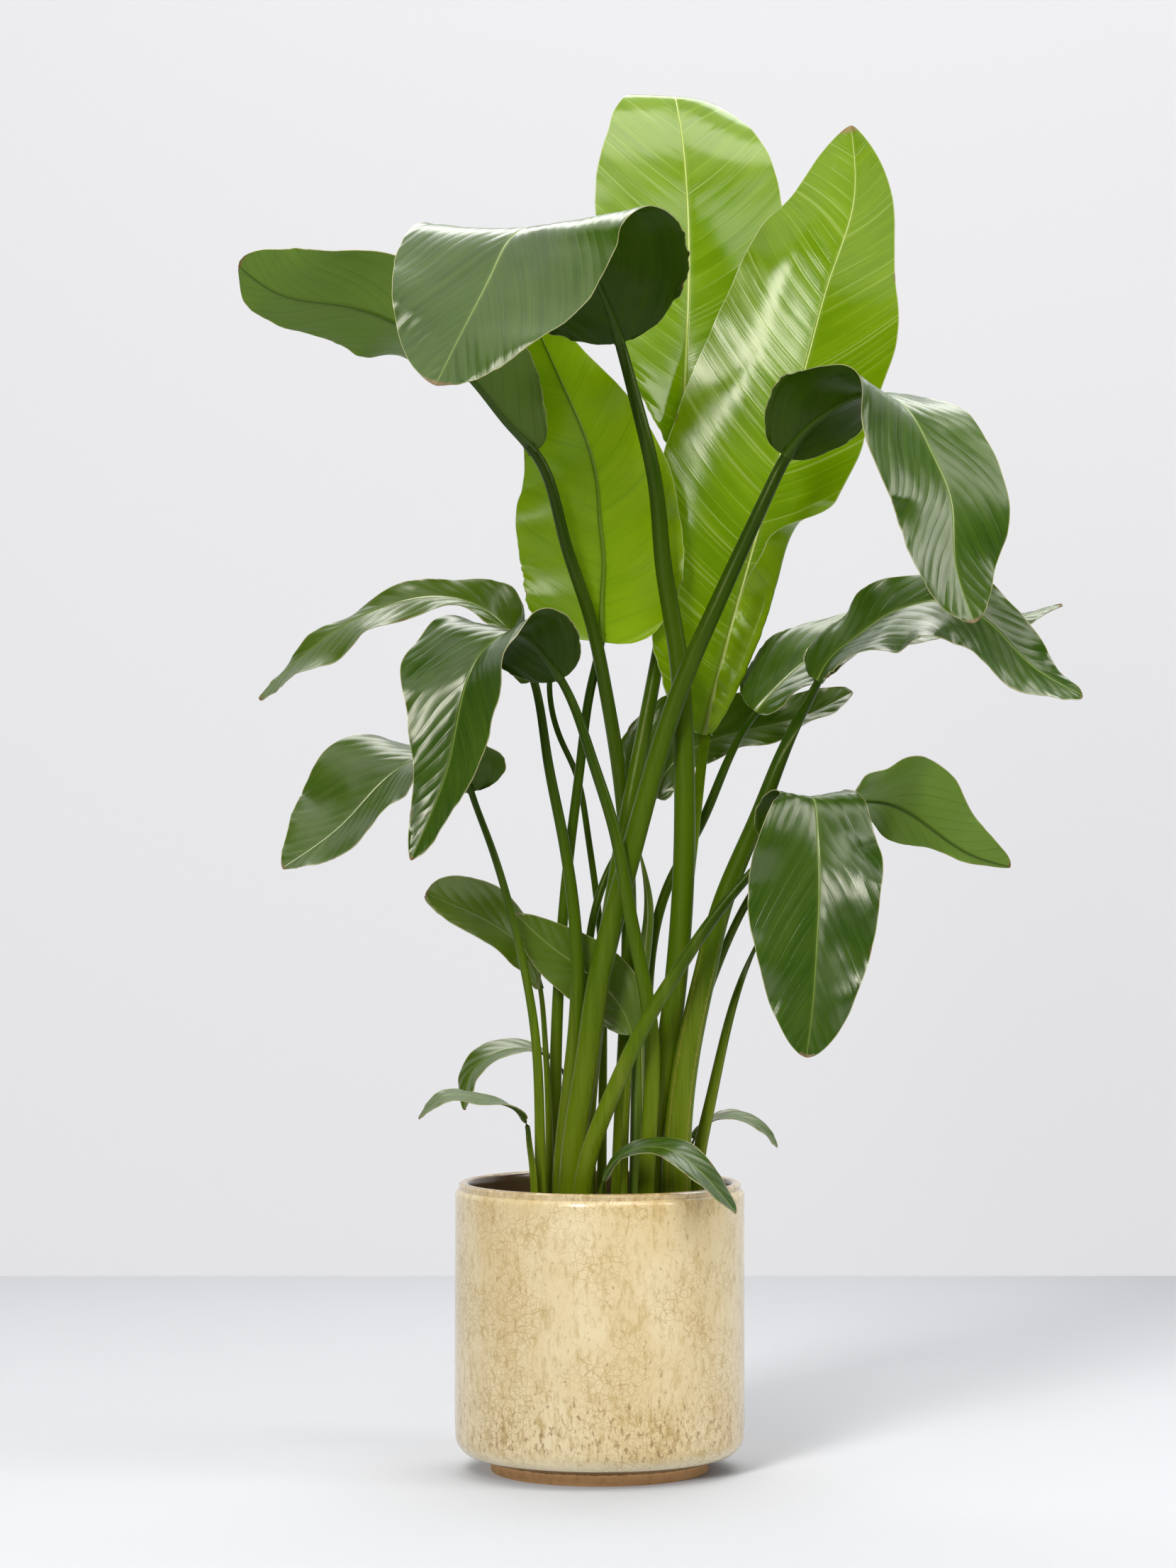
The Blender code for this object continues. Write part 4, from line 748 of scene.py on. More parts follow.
def halfBlade(leaf, t, frames, side, width, rib, look, columns):
    place, up, rightHand = (vectors[:, None] for vectors in frames)
    k = 0 if side < 0 else 1
    part = np.linspace(0, 1, columns + 1)[1:]
    part = 0.5 * part + 0.25 * (1 - np.cos(math.pi * part))
    reach = np.hstack([rib[:, None] * np.array(look["ribSteps"]),
                       rib[:, None] + (width - rib)[:, None] * part])
    share = reach / width[:, None]
    lift, curl = (np.radians(spread(leaf.get(name, flatPair), t)[:, k])[:, None, None]
                  for name in ("lift", "curl"))
    turnFrom, turnTo = leaf.get("turn", (0.0, 1.0))
    steps = share[:, :, None] * np.linspace(0, 1, look["angleSteps"])
    angle = lift + curl * np.clip((steps - turnFrom) / (turnTo - turnFrom), 0, 1)
    across, rise = ((turned[..., 1:] + turned[..., :-1]).mean(-1) / 2 * reach
                    for turned in (np.cos(angle), np.sin(angle)))
    last = angle[..., -1:]
    points = place + side * rightHand * across[..., None] + up * rise[..., None]
    outward = up * np.cos(last) - side * rightHand * np.sin(last)
    amount, count, start = leaf.get("wave", (0.0, 1.0, 0.0))
    wave = amount * np.sin(2 * math.pi * (count * t + start + look["waveShift"] * k))
    wave = wave * np.clip(6 * np.minimum(t, 1 - t), 0, 1)
    points = points + outward * (share**2 * wave[:, None])[..., None]
    return points, outward, reach, share * side


def bladeSheet(leaf, t, s, frames, look, draw):  # each point of a blade, with what its finish reads
    (left, right), rib = halfWidths(leaf, t, look, draw)
    broad = max(leaf["width"])
    columns = look["baseColumns"] + int(broad / look["columnStep"])
    slant = np.interp(t, (0.1, 0.9), look["veinSlant"])[:, None]
    halves = []
    for side, width in ((-1, left), (1, right)):
        points, outward, reach, share = halfBlade(leaf, t, frames, side, width, rib, look, columns)
        vein = s[:, None] - reach * (slant + look["veinCurve"] * reach / broad)
        edge = width[:, None] - reach
        ribHalf, along = (np.broadcast_to(values[:, None], reach.shape) for values in (rib, t))
        fields = [values[..., None] for values in (reach, share, vein, edge, ribHalf, along)]
        halves.append(np.concatenate([points, outward] + fields, axis=2))
    return np.concatenate([halves[0][:, :0:-1], halves[1]], axis=1)


def slabFaces(rows, wide):  # the faces of an upper and a lower grid of points, and the rim between them
    count = rows * wide
    grid = np.arange(count).reshape(rows, wide)
    a, b, c, d = (grid[:-1, :-1], grid[:-1, 1:], grid[1:, 1:], grid[1:, :-1])
    faces = [np.stack([a, b, c, d], -1).reshape(-1, 4), np.stack([d, c, b, a], -1).reshape(-1, 4) + count]
    for near, far in ((grid[:-1, 0], grid[1:, 0]), (grid[1:, -1], grid[:-1, -1])):
        faces.append(np.stack([near, far, far + count, near + count], -1))
    for near, far in ((grid[0, :-1], grid[0, 1:]), (grid[-1, 1:], grid[-1, :-1])):
        faces.append(np.stack([near, near + count, far + count, far], -1))
    return np.concatenate(faces).tolist()


def bladePiece(number, leaf, tree, finishes, look):
    line, base, tip = leafLine(leaf)
    rows = int((tip - base) / look["rowStep"]) + look["endRows"]
    even = np.linspace(0, 1, rows)
    t = 0.0006 + 0.9990 * (0.6 * even + 0.2 * (1 - np.cos(math.pi * even)))
    s = base + (tip - base) * t
    frames = framesAt(line, s, spread(leaf["face"], t))
    sheet = bladeSheet(leaf, t, s - base, frames, look, np.random.default_rng(100 + number))
    count = rows * sheet.shape[1]
    both = np.concatenate([sheet.reshape(count, -1)] * 2)
    piece = newPiece("blade%02d" % number, both[:, :3], slabFaces(rows, sheet.shape[1]))
    storeField(piece, "outward", both[:, 3:6], "FLOAT_VECTOR")
    for column, name in enumerate(("reach", "share", "vein", "edge", "ribHalf", "along"), 6):
        storeField(piece, name, both[:, column])
    storeField(piece, "upper", np.repeat([1.0, 0.0], count))
    storeField(piece, "own", np.full(2 * count, float(number)))
    storeField(piece, "tone", np.full(2 * count, freshAndLitBlades.get("leaf_%02d" % number, 0.0)))
    bakeMap(piece, sheet.shape[:2], t)
    tree.shape(piece, {**{labelOf(size): look[size] for size in bladeSizes}, "Seed": float(number),
                       "Lower Finish": finishes[1], "Upper Finish": finishes[0]})
    holdInside(piece)
    smoothFaces(piece)
    return piece


bladeMap = dict(side=0.012, width=0.47, height=0.96, foot=0.02, middle=0.247, sideBand=0.23,
                rimAside=0.009, rimBeyond=0.015)


def bakeMap(piece, shape, t):  # the upper side fills one half of the map and the lower the other
    mesh, (rows, wide) = piece.data, shape
    corners = np.empty(len(mesh.loops), np.int32)
    mesh.loops.foreach_get("vertex_index", corners)
    across = bladeMap["width"] * np.linspace(0, 1, wide)[None, :].repeat(rows, 0).ravel()
    along = np.repeat(t, wide)
    u = np.concatenate([bladeMap["side"] + across, 1 - bladeMap["side"] - across])
    v = np.concatenate([along, along]) * bladeMap["height"] + bladeMap["foot"]
    places = np.stack([u[corners], v[corners]], -1)
    rim = np.arange(len(mesh.polygons)) >= 2 * (rows - 1) * (wide - 1)
    low = np.repeat(rim, 4) & (corners >= rows * wide)
    places[low, 0] = 1 - places[low, 0]      # a rim lies beside the upper side's edge
    beside = low & (np.abs(places[:, 0] - bladeMap["middle"]) > bladeMap["sideBand"])
    step = bladeMap["rimAside"]
    places[beside, 0] += np.where(places[beside, 0] < 0.2, -step, step)
    beyond = low & ~beside
    step = bladeMap["rimBeyond"]
    places[beyond, 1] += np.where(places[beyond, 1] < 0.5, -step, step)
    mesh.uv_layers.new(name="OFBake").uv.foreach_set("vector", places.astype(np.float32).ravel())


# leaf stalks

stalk = dict(step=0.006, sides=28, rootFlat=0.62, flatFade=0.7, intoBlade=0.010, channelRun=0.13,
             channelDepth=1.5)
stalkTones = dict(leaf_02=1.0, leaf_15=0.4, leaf_16=0.4)


def stalkTree():
    tree = ShapeTree("stalkSkin", [("Sides", "Int", stalk["sides"]),
                                   ("Channel Depth", "Float", stalk["channelDepth"]),
                                   ("Finish", "Material", None)])
    up = tree.field("upward", "FLOAT_VECTOR")
    curve = tree.node("GeometryNodeMeshToCurve", None, {"Mesh": tree.start})
    curve = tree.node("GeometryNodeSetCurveNormal", {"mode": "FREE"}, {"Curve": curve, "Normal": up})
    curve = tree.store(curve, "middle", tree.node("GeometryNodeInputPosition"), "FLOAT_VECTOR")
    ring = tree.node("GeometryNodeCurvePrimitiveCircle", {"mode": "RADIUS"},
                     {"Resolution": tree.given("Sides"), "Radius": 1.0})
    skin = tree.node("GeometryNodeCurveToMesh", None, {"Curve": curve, "Profile Curve": ring,
                                                       "Fill Caps": True, "Scale": tree.field("wide")})
    out = tree.vectors("SUBTRACT", tree.node("GeometryNodeInputPosition"),
                       tree.field("middle", "FLOAT_VECTOR"))
    high = tree.vectors("DOT_PRODUCT", out, up, output="Value") / tree.field("wide")
    sunk = 1.0 - tree.field("channel") * tree.given("Channel Depth")
    level = tree.maths("MAXIMUM", high, 0.0) * sunk + tree.maths("MINIMUM", high, 0.0)
    lift = level * tree.field("deep") - high * tree.field("wide")
    tree.close(tree.moved(tree.store(skin, "high", high), up, lift), ("Finish", None))
    return tree


def stalkPiece(number, leaf, tree, finish):
    line, base, _ = leafLine(leaf)
    end = base + stalk["intoBlade"]
    s = np.linspace(0, end, int(end / stalk["step"]) + 2)
    part = np.minimum(s / base, 1.0)
    joint = unit(spread(leaf["face"], np.zeros(1)))[0]
    root = np.array([0.0, -1.0, 0.0]) * (1 if joint[1] <= 0 else -1)
    turn = part[:, None]**3
    place, up, _ = framesAt(line, s, root * (1 - turn) + joint * turn)
    low, middle, high = leaf["girth"]
    wide = low * (1 - part) * (1 - 2 * part) + middle * 4 * part * (1 - part) + high * part * (2 * part - 1)
    deep = wide * (stalk["rootFlat"] + (1 - stalk["rootFlat"]) * part**stalk["flatFade"])
    near = np.clip((s - base + stalk["channelRun"]) / stalk["channelRun"], 0, 1)
    piece = newPiece("stalk%02d" % number, place, [])
    piece.data.clear_geometry()
    piece.data.from_pydata(place.tolist(), [(i, i + 1) for i in range(len(s) - 1)], [])
    storeField(piece, "upward", up, "FLOAT_VECTOR")
    tone = stalkTones.get("leaf_%02d" % number, 0.0)
    for name, values in (("wide", wide), ("deep", deep), ("channel", near**2 * (3 - 2 * near)),
                         ("along", s), ("part", part), ("own", np.full(len(s), float(number))),
                         ("tone", np.full(len(s), tone))):
        storeField(piece, name, values)
    tree.shape(piece, {"Sides": stalk["sides"], "Channel Depth": stalk["channelDepth"], "Finish": finish})
    smoothFaces(piece, 60.0)
    return piece


# the young leaf that is still rolled

spear = dict(
    line=[(0.040, 0.012, 0.270), (0.043, 0.018, 0.450), (0.050, 0.024, 0.580),
          (0.056, 0.026, 0.640), (0.045, 0.028, 0.706)],
    radii=[0.0080, 0.0080, 0.0085, 0.0060, 0.0010], flat=0.75, overlap=0.16, sides=40, rows=90, twist=2.2,
)


def spearPiece(finish):
    line = SmoothLine(spear["line"])
    s = np.linspace(0, line.knots[-1], spear["rows"])
    place, up, rightHand = framesAt(line, s, np.tile([0.0, -1.0, 0.0], (len(s), 1)))
    radius = np.interp(s, line.knots, spear["radii"])
    sides = spear["sides"]
    turn = np.arange(sides) / (sides - 1)
    rows = []
    for k in range(len(s)):
        angle = 2 * math.pi * turn + spear["twist"] * s[k] / line.knots[-1]
        reach = radius[k] * (1 - spear["overlap"] * (1 - turn))
        rows.append(place[k] + rightHand[k] * (reach * np.cos(angle))[:, None]
                    + up[k] * (spear["flat"] * reach * np.sin(angle))[:, None])
    points = np.concatenate(rows)
    faces = [(i * sides + k, i * sides + (k + 1) % sides, (i + 1) * sides + (k + 1) % sides,
              (i + 1) * sides + k) for i in range(len(s) - 1) for k in range(sides)]
    faces += [tuple(range(sides - 1, -1, -1)), tuple(range(len(points) - sides, len(points)))]
    piece = newPiece("rolledLeaf", points, faces, [finish])
    storeField(piece, "along", np.repeat(s, sides))
    storeField(piece, "round", np.tile(turn, len(s)))
    smoothFaces(piece, 40.0)
    return piece


# pot and soil

pot = dict(radius=0.165, opening=0.149, foot=0.124, footHeight=0.012, footEdge=0.002, floorTop=0.024,
           sides=180, glazeWave=0.00035, waveSeed=7,
           waves=((2, 9), (3, 21), (5, 14), (8, 33), (13, 27)),     # turns round and rise of each wave
           corner=(0.141, 0.0415, 0.0235, -72, 0, 12),     # arcs: middle, radius, angles, points
           shoulder=(0.3125, 0.009, 0, 62, 6), lip=(0.1553, 0.3205, 0.0074, 40, 148, 8),
           wall=(0.054, 0.296, 24), inner=(0.317, 0.056, 14), innerCorner=0.020)


def arc(x, z, radius, start, stop, count):
    angles = np.radians(np.linspace(start, stop, count))
    return [(x + radius * math.cos(a), z + radius * math.sin(a)) for a in angles]


def potOutline():
    foot, rise, wall, edge = pot["foot"], pot["footHeight"], pot["radius"], pot["footEdge"]
    opening, bend = pot["opening"], pot["innerCorner"]
    run = [(0.0, 0.0), (foot * 0.5, 0.0)] + arc(foot - edge, edge, edge, -90, 0, 4)
    run += [(foot, rise - 0.003), (foot + 0.0006, rise - 0.0005), (foot + 0.004, rise + 0.0016)]
    run += arc(*pot["corner"])
    run += [(wall, z) for z in np.linspace(*pot["wall"])]
    run += arc(wall - pot["shoulder"][1], *pot["shoulder"])
    run += arc(*pot["lip"])
    run += [(opening, z) for z in np.linspace(*pot["inner"])]
    run += arc(opening - bend, 0.046, bend, -8, -88, 5)
    run += [(0.06, pot["floorTop"]), (0.0, pot["floorTop"])]
    return np.array(run)


def lathe(outline, sides):
    angles = 2 * math.pi * np.arange(sides) / sides
    ring = outline[1:-1]
    points = np.stack([ring[:, :1] * np.cos(angles), ring[:, :1] * np.sin(angles),
                       ring[:, 1:] + 0 * angles], -1).reshape(-1, 3)
    rings = len(ring)
    points = np.concatenate([points, [(0, 0, outline[0, 1]), (0, 0, outline[-1, 1])]])
    faces = []
    for k in range(sides):
        n = (k + 1) % sides
        faces.append((rings * sides, n, k))
        faces += [(i * sides + k, i * sides + n, (i + 1) * sides + n, (i + 1) * sides + k)
                  for i in range(rings - 1)]
        faces.append(((rings - 1) * sides + k, (rings - 1) * sides + n, rings * sides + 1))
    return points, faces


def potPiece(finish):
    points, faces = lathe(potOutline(), pot["sides"])
    angle = np.arctan2(points[:, 1], points[:, 0])
    draw = np.random.default_rng(pot["waveSeed"])
    wave = np.zeros(len(points))
    for turns, rise in pot["waves"]:
        wave += np.sin(turns * angle + rise * points[:, 2] + draw.random() * 6.3) / turns
    points[:, :2] *= (1 - pot["glazeWave"] / pot["radius"] * (1 + wave))[:, None]
    piece = newPiece("glazedPot", points, faces, [finish])
    smoothFaces(piece, 45.0)
    return piece


soil = dict(top=0.300, mound=0.007, edgeDrop=0.006, reach=0.1478, rings=46, sides=150,
            lower=[(0.1478, 0.200), (0.1478, 0.052), (0.0, 0.025)],
            rough=0.0028, roughWaves=(40, 75, 130, 210), roughDepth=0.008, crumbDensity=16000.0,
            crumbSize=0.0026, crumbDents=420.0, crumbFlat=(0.3, 0.3, 0.25), crumbFull=(1.2, 1.1, 0.8),
            seed=11)


def soilTree():
    tree = ShapeTree("crumbs", [("Density", "Float", soil["crumbDensity"]),
                                ("Crumb Size", "Float", soil["crumbSize"]),
                                ("Seed", "Int", soil["seed"]), ("Finish", "Material", None)])
    normal = tree.node("GeometryNodeInputNormal")
    size, seed = tree.given("Crumb Size"), tree.given("Seed")
    facing = tree.maths("GREATER_THAN", tree.zOf(normal), 0.6)
    spots = tree.node("GeometryNodeDistributePointsOnFaces", None,
                      {"Mesh": tree.start, "Selection": facing, "Density": tree.given("Density"),
                       "Seed": seed})
    crumb = tree.node("GeometryNodeMeshIcoSphere", None, {"Radius": size, "Subdivisions": 2})
    dent = tree.noise(tree.node("GeometryNodeInputPosition"), soil["crumbDents"])
    crumb = tree.moved(crumb, normal, (dent - 0.5) * size * 1.6)
    turn, scale = (tree.node("FunctionNodeRandomValue", {"data_type": "FLOAT_VECTOR"},
                             {"Min": low, "Max": high, "Seed": seed})
                   for low, high in (((0, 0, 0), (6.28, 6.28, 6.28)),
                                     (soil["crumbFlat"], soil["crumbFull"])))
    crumbs = tree.node("GeometryNodeInstanceOnPoints", None,
                       {"Points": spots, "Instance": crumb, "Rotation": turn, "Scale": scale})
    joined = tree.node("GeometryNodeJoinGeometry")
    for part in (tree.start, crumbs):
        tree.tree.links.new(part.socket, joined.socket.node.inputs[0])
    tree.close(joined, ("Finish", None))
    return tree


def soilPiece(finish):
    top, reach, mound = soil["top"], soil["reach"], soil["mound"]
    across = np.linspace(0, 1, soil["rings"])[1:]
    crown = [(reach * a, top + mound * (1 - a**2) - soil["edgeDrop"] * a**12) for a in across]
    outline = np.array([(0.0, top + mound)] + crown + soil["lower"])
    points, faces = lathe(outline[::-1], soil["sides"])
    draw = np.random.default_rng(soil["seed"])
    rough = np.zeros(len(points))
    for waves in soil["roughWaves"]:
        way = draw.normal(size=(3, 3)) * waves
        rough += np.prod(np.sin(points @ way + draw.random(3) * 6.3), axis=1) * 40 / waves
    rough *= points[:, 2] > top - soil["roughDepth"]
    points[:, 2] += rough * soil["rough"]
    piece = newPiece("soilBed", points, faces)
    soilTree().shape(piece, {"Density": soil["crumbDensity"], "Crumb Size": soil["crumbSize"],
                             "Seed": soil["seed"], "Finish": finish})
    smoothFaces(piece, 70.0)
    return piece


# finishes; fresh, deep and light are shades of the green (on the leaves fresh is partly painted light and
# sheen), through is the light that a blade lets by

allLeaves = dict(specularTint=(1.0, 0.96, 0.84, 1.0), broadPitch=70.0, patchScale=9.0, poreScale=700.0,
                 nickScale=46.0, nickLevel=(0.66, 0.72), nickReach=(0.0008, 0.0030),
                 tipRun=(0.984, 0.996), borderRun=(0.0004, 0.0011), veinWidth=(0.03, 0.16), ownStep=3.7)
greenLeaf = dict(allLeaves, edge=(0.42, 0.40, 0.18), dry=(0.17, 0.09, 0.03), through=(0.14, 0.34, 0.01),
                 thin=0.14, veinBump=0.22, veinPitch=0.0015, pale=0.0)
youngLeaf = dict(allLeaves, edge=(0.55, 0.55, 0.25), dry=(0.20, 0.11, 0.04), through=(0.40, 0.64, 0.01),
                 thin=0.32, veinPitch=0.0019, creaseBump=0.00008)
leafLooks = dict(
    green=dict(greenLeaf, fresh=(0.130, 0.205, 0.008), deep=(0.022, 0.062, 0.0012),
               light=(0.052, 0.112, 0.003), rib=(0.17, 0.25, 0.035), roughness=0.235, ribWidth=0.48,
               creaseBump=0.00022, sheen=0.8, veinShow=0.50, veinLine=(0.060, 0.130, 0.010)),
    greenBelow=dict(greenLeaf, fresh=(0.185, 0.310, 0.045), deep=(0.022, 0.050, 0.0006),
                    light=(0.040, 0.080, 0.001), rib=(0.034, 0.070, 0.004), roughness=0.32,
                    ribWidth=0.95, creaseBump=0.00010, sheen=0.16, veinShow=0.40,
                    veinLine=(0.026, 0.060, 0.002)),
    young=dict(youngLeaf, fresh=(0.200, 0.360, 0.004), deep=(0.122, 0.212, 0.0002),
               light=(0.192, 0.300, 0.0005), rib=(0.44, 0.53, 0.13), roughness=0.145, veinBump=0.16,
               pale=0.40, ribWidth=0.52, sheen=0.60, veinShow=0.50, veinLine=(0.26, 0.42, 0.02)),
    youngBelow=dict(youngLeaf, fresh=(0.200, 0.340, 0.004), deep=(0.215, 0.360, 0.0004),
                    light=(0.300, 0.460, 0.001), rib=(0.085, 0.165, 0.004), roughness=0.28, veinBump=0.2,
                    pale=0.30, ribWidth=0.95, sheen=0.35, veinShow=0.45, veinLine=(0.20, 0.34, 0.012)),
)


def leafFinish(name, look):
    finish = Finish(name)
    vein, share, reach, rib, edge, along, own, phase, strength, tone = (finish.field(n) for n in (
        "vein", "share", "reach", "ribHalf", "edge", "along", "own", "phase", "strength", "tone"))
    place = finish.place()

    def streaks(across, forward, shift, detail=2.0):  # long along the veins, short across them
        spot = finish.spot(vein * across, share * forward, own * look["ownStep"] + shift)
        return finish.noise(spot, 1.0, detail)

    fine = streaks(1.0 / look["veinPitch"], 1.4, 0.0, 3.0)
    broad = streaks(look["broadPitch"], 0.9, 5.0)
    patch = finish.noise(place, look["patchScale"], 3.0)
    light = finish.between(fine * 0.30 + broad * 0.40 + patch * 0.45, 0.38, 0.78)
    colour = finish.mixColours(light, look["deep"], look["light"])
    # tone lifts a blade toward its fresh shade: partly a fresher green, partly painted light and sheen
    colour = finish.mixColours(tone, colour, look["fresh"])
    if look["pale"]:     # the odd paler side vein, where a young leaf is still thin
        line = finish.between(streaks(300.0, 0.35, 9.0, 0.0), 0.70, 0.76) * look["pale"]
        colour = finish.mixColours(line, colour, look["rib"])
    fold = finish.absolute(finish.maths("SINE", phase * math.pi))
    line = finish.outside(fold, *look["veinWidth"]) * finish.between(strength, 0.1, 0.9)
    colour = finish.mixColours(line * look["veinShow"], colour, look["veinLine"])
    besideRib = finish.outside(reach, rib * 0.6, rib * 3.0)
    colour = finish.mixColours(besideRib * 0.16, colour, look["rib"])
    inRib = finish.outside(reach / rib, look["ribWidth"] * 0.72, look["ribWidth"] * 1.15)
    colour = finish.mixColours(inRib * (0.70 + 0.30 * fine), colour, look["rib"])
    border = finish.outside(edge + (patch - 0.5) * 0.0006, *look["borderRun"])
    colour = finish.mixColours(border * 0.8, colour, look["edge"])
    tip = finish.between(along + (broad - 0.5) * 0.012, *look["tipRun"])
    colour = finish.mixColours(tip * 0.9, colour, look["dry"])
    nick = finish.between(finish.noise(place, look["nickScale"], 1.0), *look["nickLevel"])
    nick = nick * finish.outside(edge, *look["nickReach"])
    colour = finish.mixColours(nick * 0.8, colour, look["dry"])
    rough = look["roughness"] + (broad - 0.5) * 0.14 + (patch - 0.5) * 0.22 + tip * 0.3
    height = fine + broad * 0.5 + finish.noise(place, look["poreScale"], 1.0) * 0.12
    creased = finish.bump(fold ** 0.35 * finish.maths("MAXIMUM", strength, 0.0), 1.0, look["creaseBump"])
    normal = finish.bump(height, look["veinBump"], 0.0006, creased)
    skin = finish.surface(colour, rough, {"Normal": normal, "Specular IOR Level": look["sheen"],
                                          "Specular Tint": look["specularTint"]})
    glow = finish.node("ShaderNodeBsdfTranslucent", None,
                       {"Color": (*look["through"], 1.0), "Normal": normal})
    lets = (1.0 - inRib) * (1.0 - tip) * look["thin"]
    return finish.close(finish.node("ShaderNodeMixShader", None, {0: lets, 1: skin, 2: glow}))


stalkLook = dict(fresh=(0.150, 0.250, 0.003), foot=(0.140, 0.205, 0.003), middle=(0.060, 0.112, 0.001),
                 top=(0.016, 0.044, 0.0006), worn=(0.165, 0.215, 0.020), dark=(0.030, 0.060, 0.004),
                 seam=(0.30, 0.24, 0.05), seamTop=0.62, roughness=0.34, sheen=0.24,
                 specularTint=(1.0, 1.0, 0.5, 1.0), streakStretch=0.04, streakScale=420.0,
                 patchScale=70.0, fleckScale=210.0)


def stalkFinish():
    look = stalkLook
    finish = Finish("stalkGreen")
    place = finish.place()
    high = finish.zOf(place)
    level, part, own = finish.field("high"), finish.field("part"), finish.field("own")
    drawn = finish.drawnOut(place, look["streakStretch"])
    streak = finish.noise(drawn, look["streakScale"], 3.0)
    patch = finish.noise(drawn, look["patchScale"], 2.0)
    colour = finish.mixColours(finish.between(high, 0.30, 0.60), look["foot"], look["middle"])
    colour = finish.mixColours(finish.between(part, 0.45, 0.95), colour, look["top"])
    colour = finish.mixColours(finish.field("tone"), colour, look["fresh"])
    worn = finish.between(patch, 0.40, 0.72) * (0.5 - 0.42 * finish.between(high, 0.42, 0.75))
    colour = finish.mixColours(worn, colour, look["worn"])
    colour = finish.mixColours(finish.between(streak, 0.45, 0.75) * 0.35, colour, look["dark"])
    side = finish.maths("FRACT", own * 0.371) * 0.5 + 0.35
    away = finish.absolute(level - side)
    low = finish.outside(high, look["seamTop"] - 0.08, look["seamTop"])
    seam = finish.outside(away, 0.015, 0.045) * low
    fleck = finish.between(finish.noise(place, look["fleckScale"], 2.0), 0.56, 0.64)
    fleck = fleck * finish.outside(away, 0.05, 0.16) * low
    colour = finish.mixColours(finish.maths("MAXIMUM", seam * 0.75, fleck * 0.6), colour, look["seam"])
    rough = look["roughness"] + (streak - 0.5) * 0.2
    normal = finish.bump(streak + patch * 0.6 - seam * 0.6, 0.25, 0.0006)
    return finish.close(finish.surface(colour, rough, {"Normal": normal, "Specular IOR Level": look["sheen"],
                                                       "Specular Tint": look["specularTint"]}))


rolledLook = dict(deep=(0.075, 0.135, 0.006), light=(0.150, 0.235, 0.015), edge=(0.42, 0.42, 0.16),
                  dry=(0.17, 0.10, 0.03), edgeRun=(0.955, 0.99), dryRun=(0.425, 0.440), roughness=0.34)


def rolledFinish():
    look = rolledLook
    finish = Finish("rolledGreen")
    along, turn = finish.field("along"), finish.field("round")
    streak = finish.noise(finish.spot(turn * 60.0, along * 9.0 + turn * 3.0), 1.0, 3.0)
    colour = finish.mixColours(finish.between(streak, 0.3, 0.7), look["deep"], look["light"])
    colour = finish.mixColours(finish.between(turn, *look["edgeRun"]) * 0.8, colour, look["edge"])
    colour = finish.mixColours(finish.between(along, *look["dryRun"]) * 0.7, colour, look["dry"])
    rough = look["roughness"] + (finish.noise(finish.place(), 60.0) - 0.5) * 0.2
    return finish.close(finish.surface(colour, rough, {"Normal": finish.bump(streak, 0.3, 0.0005)}))


# inner is a dark brown that is mostly painted shade, for the shade down in the pot over the inner wall's own
# brown
glaze = dict(cream=(0.82, 0.685, 0.41), warm=(0.76, 0.595, 0.315), olive=(0.46, 0.295, 0.07),
             brown=(0.26, 0.135, 0.025), inner=(0.085, 0.045, 0.018), pale=(0.90, 0.80, 0.55),
             crack=(0.44, 0.265, 0.06), clay=(0.80, 0.46, 0.20), darkClay=(0.40, 0.20, 0.08),
             streakStretch=0.38, spotStretch=0.55, blotchScale=16.0, streakScale=115.0,
             mottleScale=130.0, spotScale=190.0, bend=(0.012, 0.012, 0.012), bendScale=30.0,
             cracks=((105.0, 0.55), (210.0, 0.40)), crackWidth=(0.015, 0.060),     # scale and strength
             roughness=0.16, coat=0.5, coatRoughness=0.05)


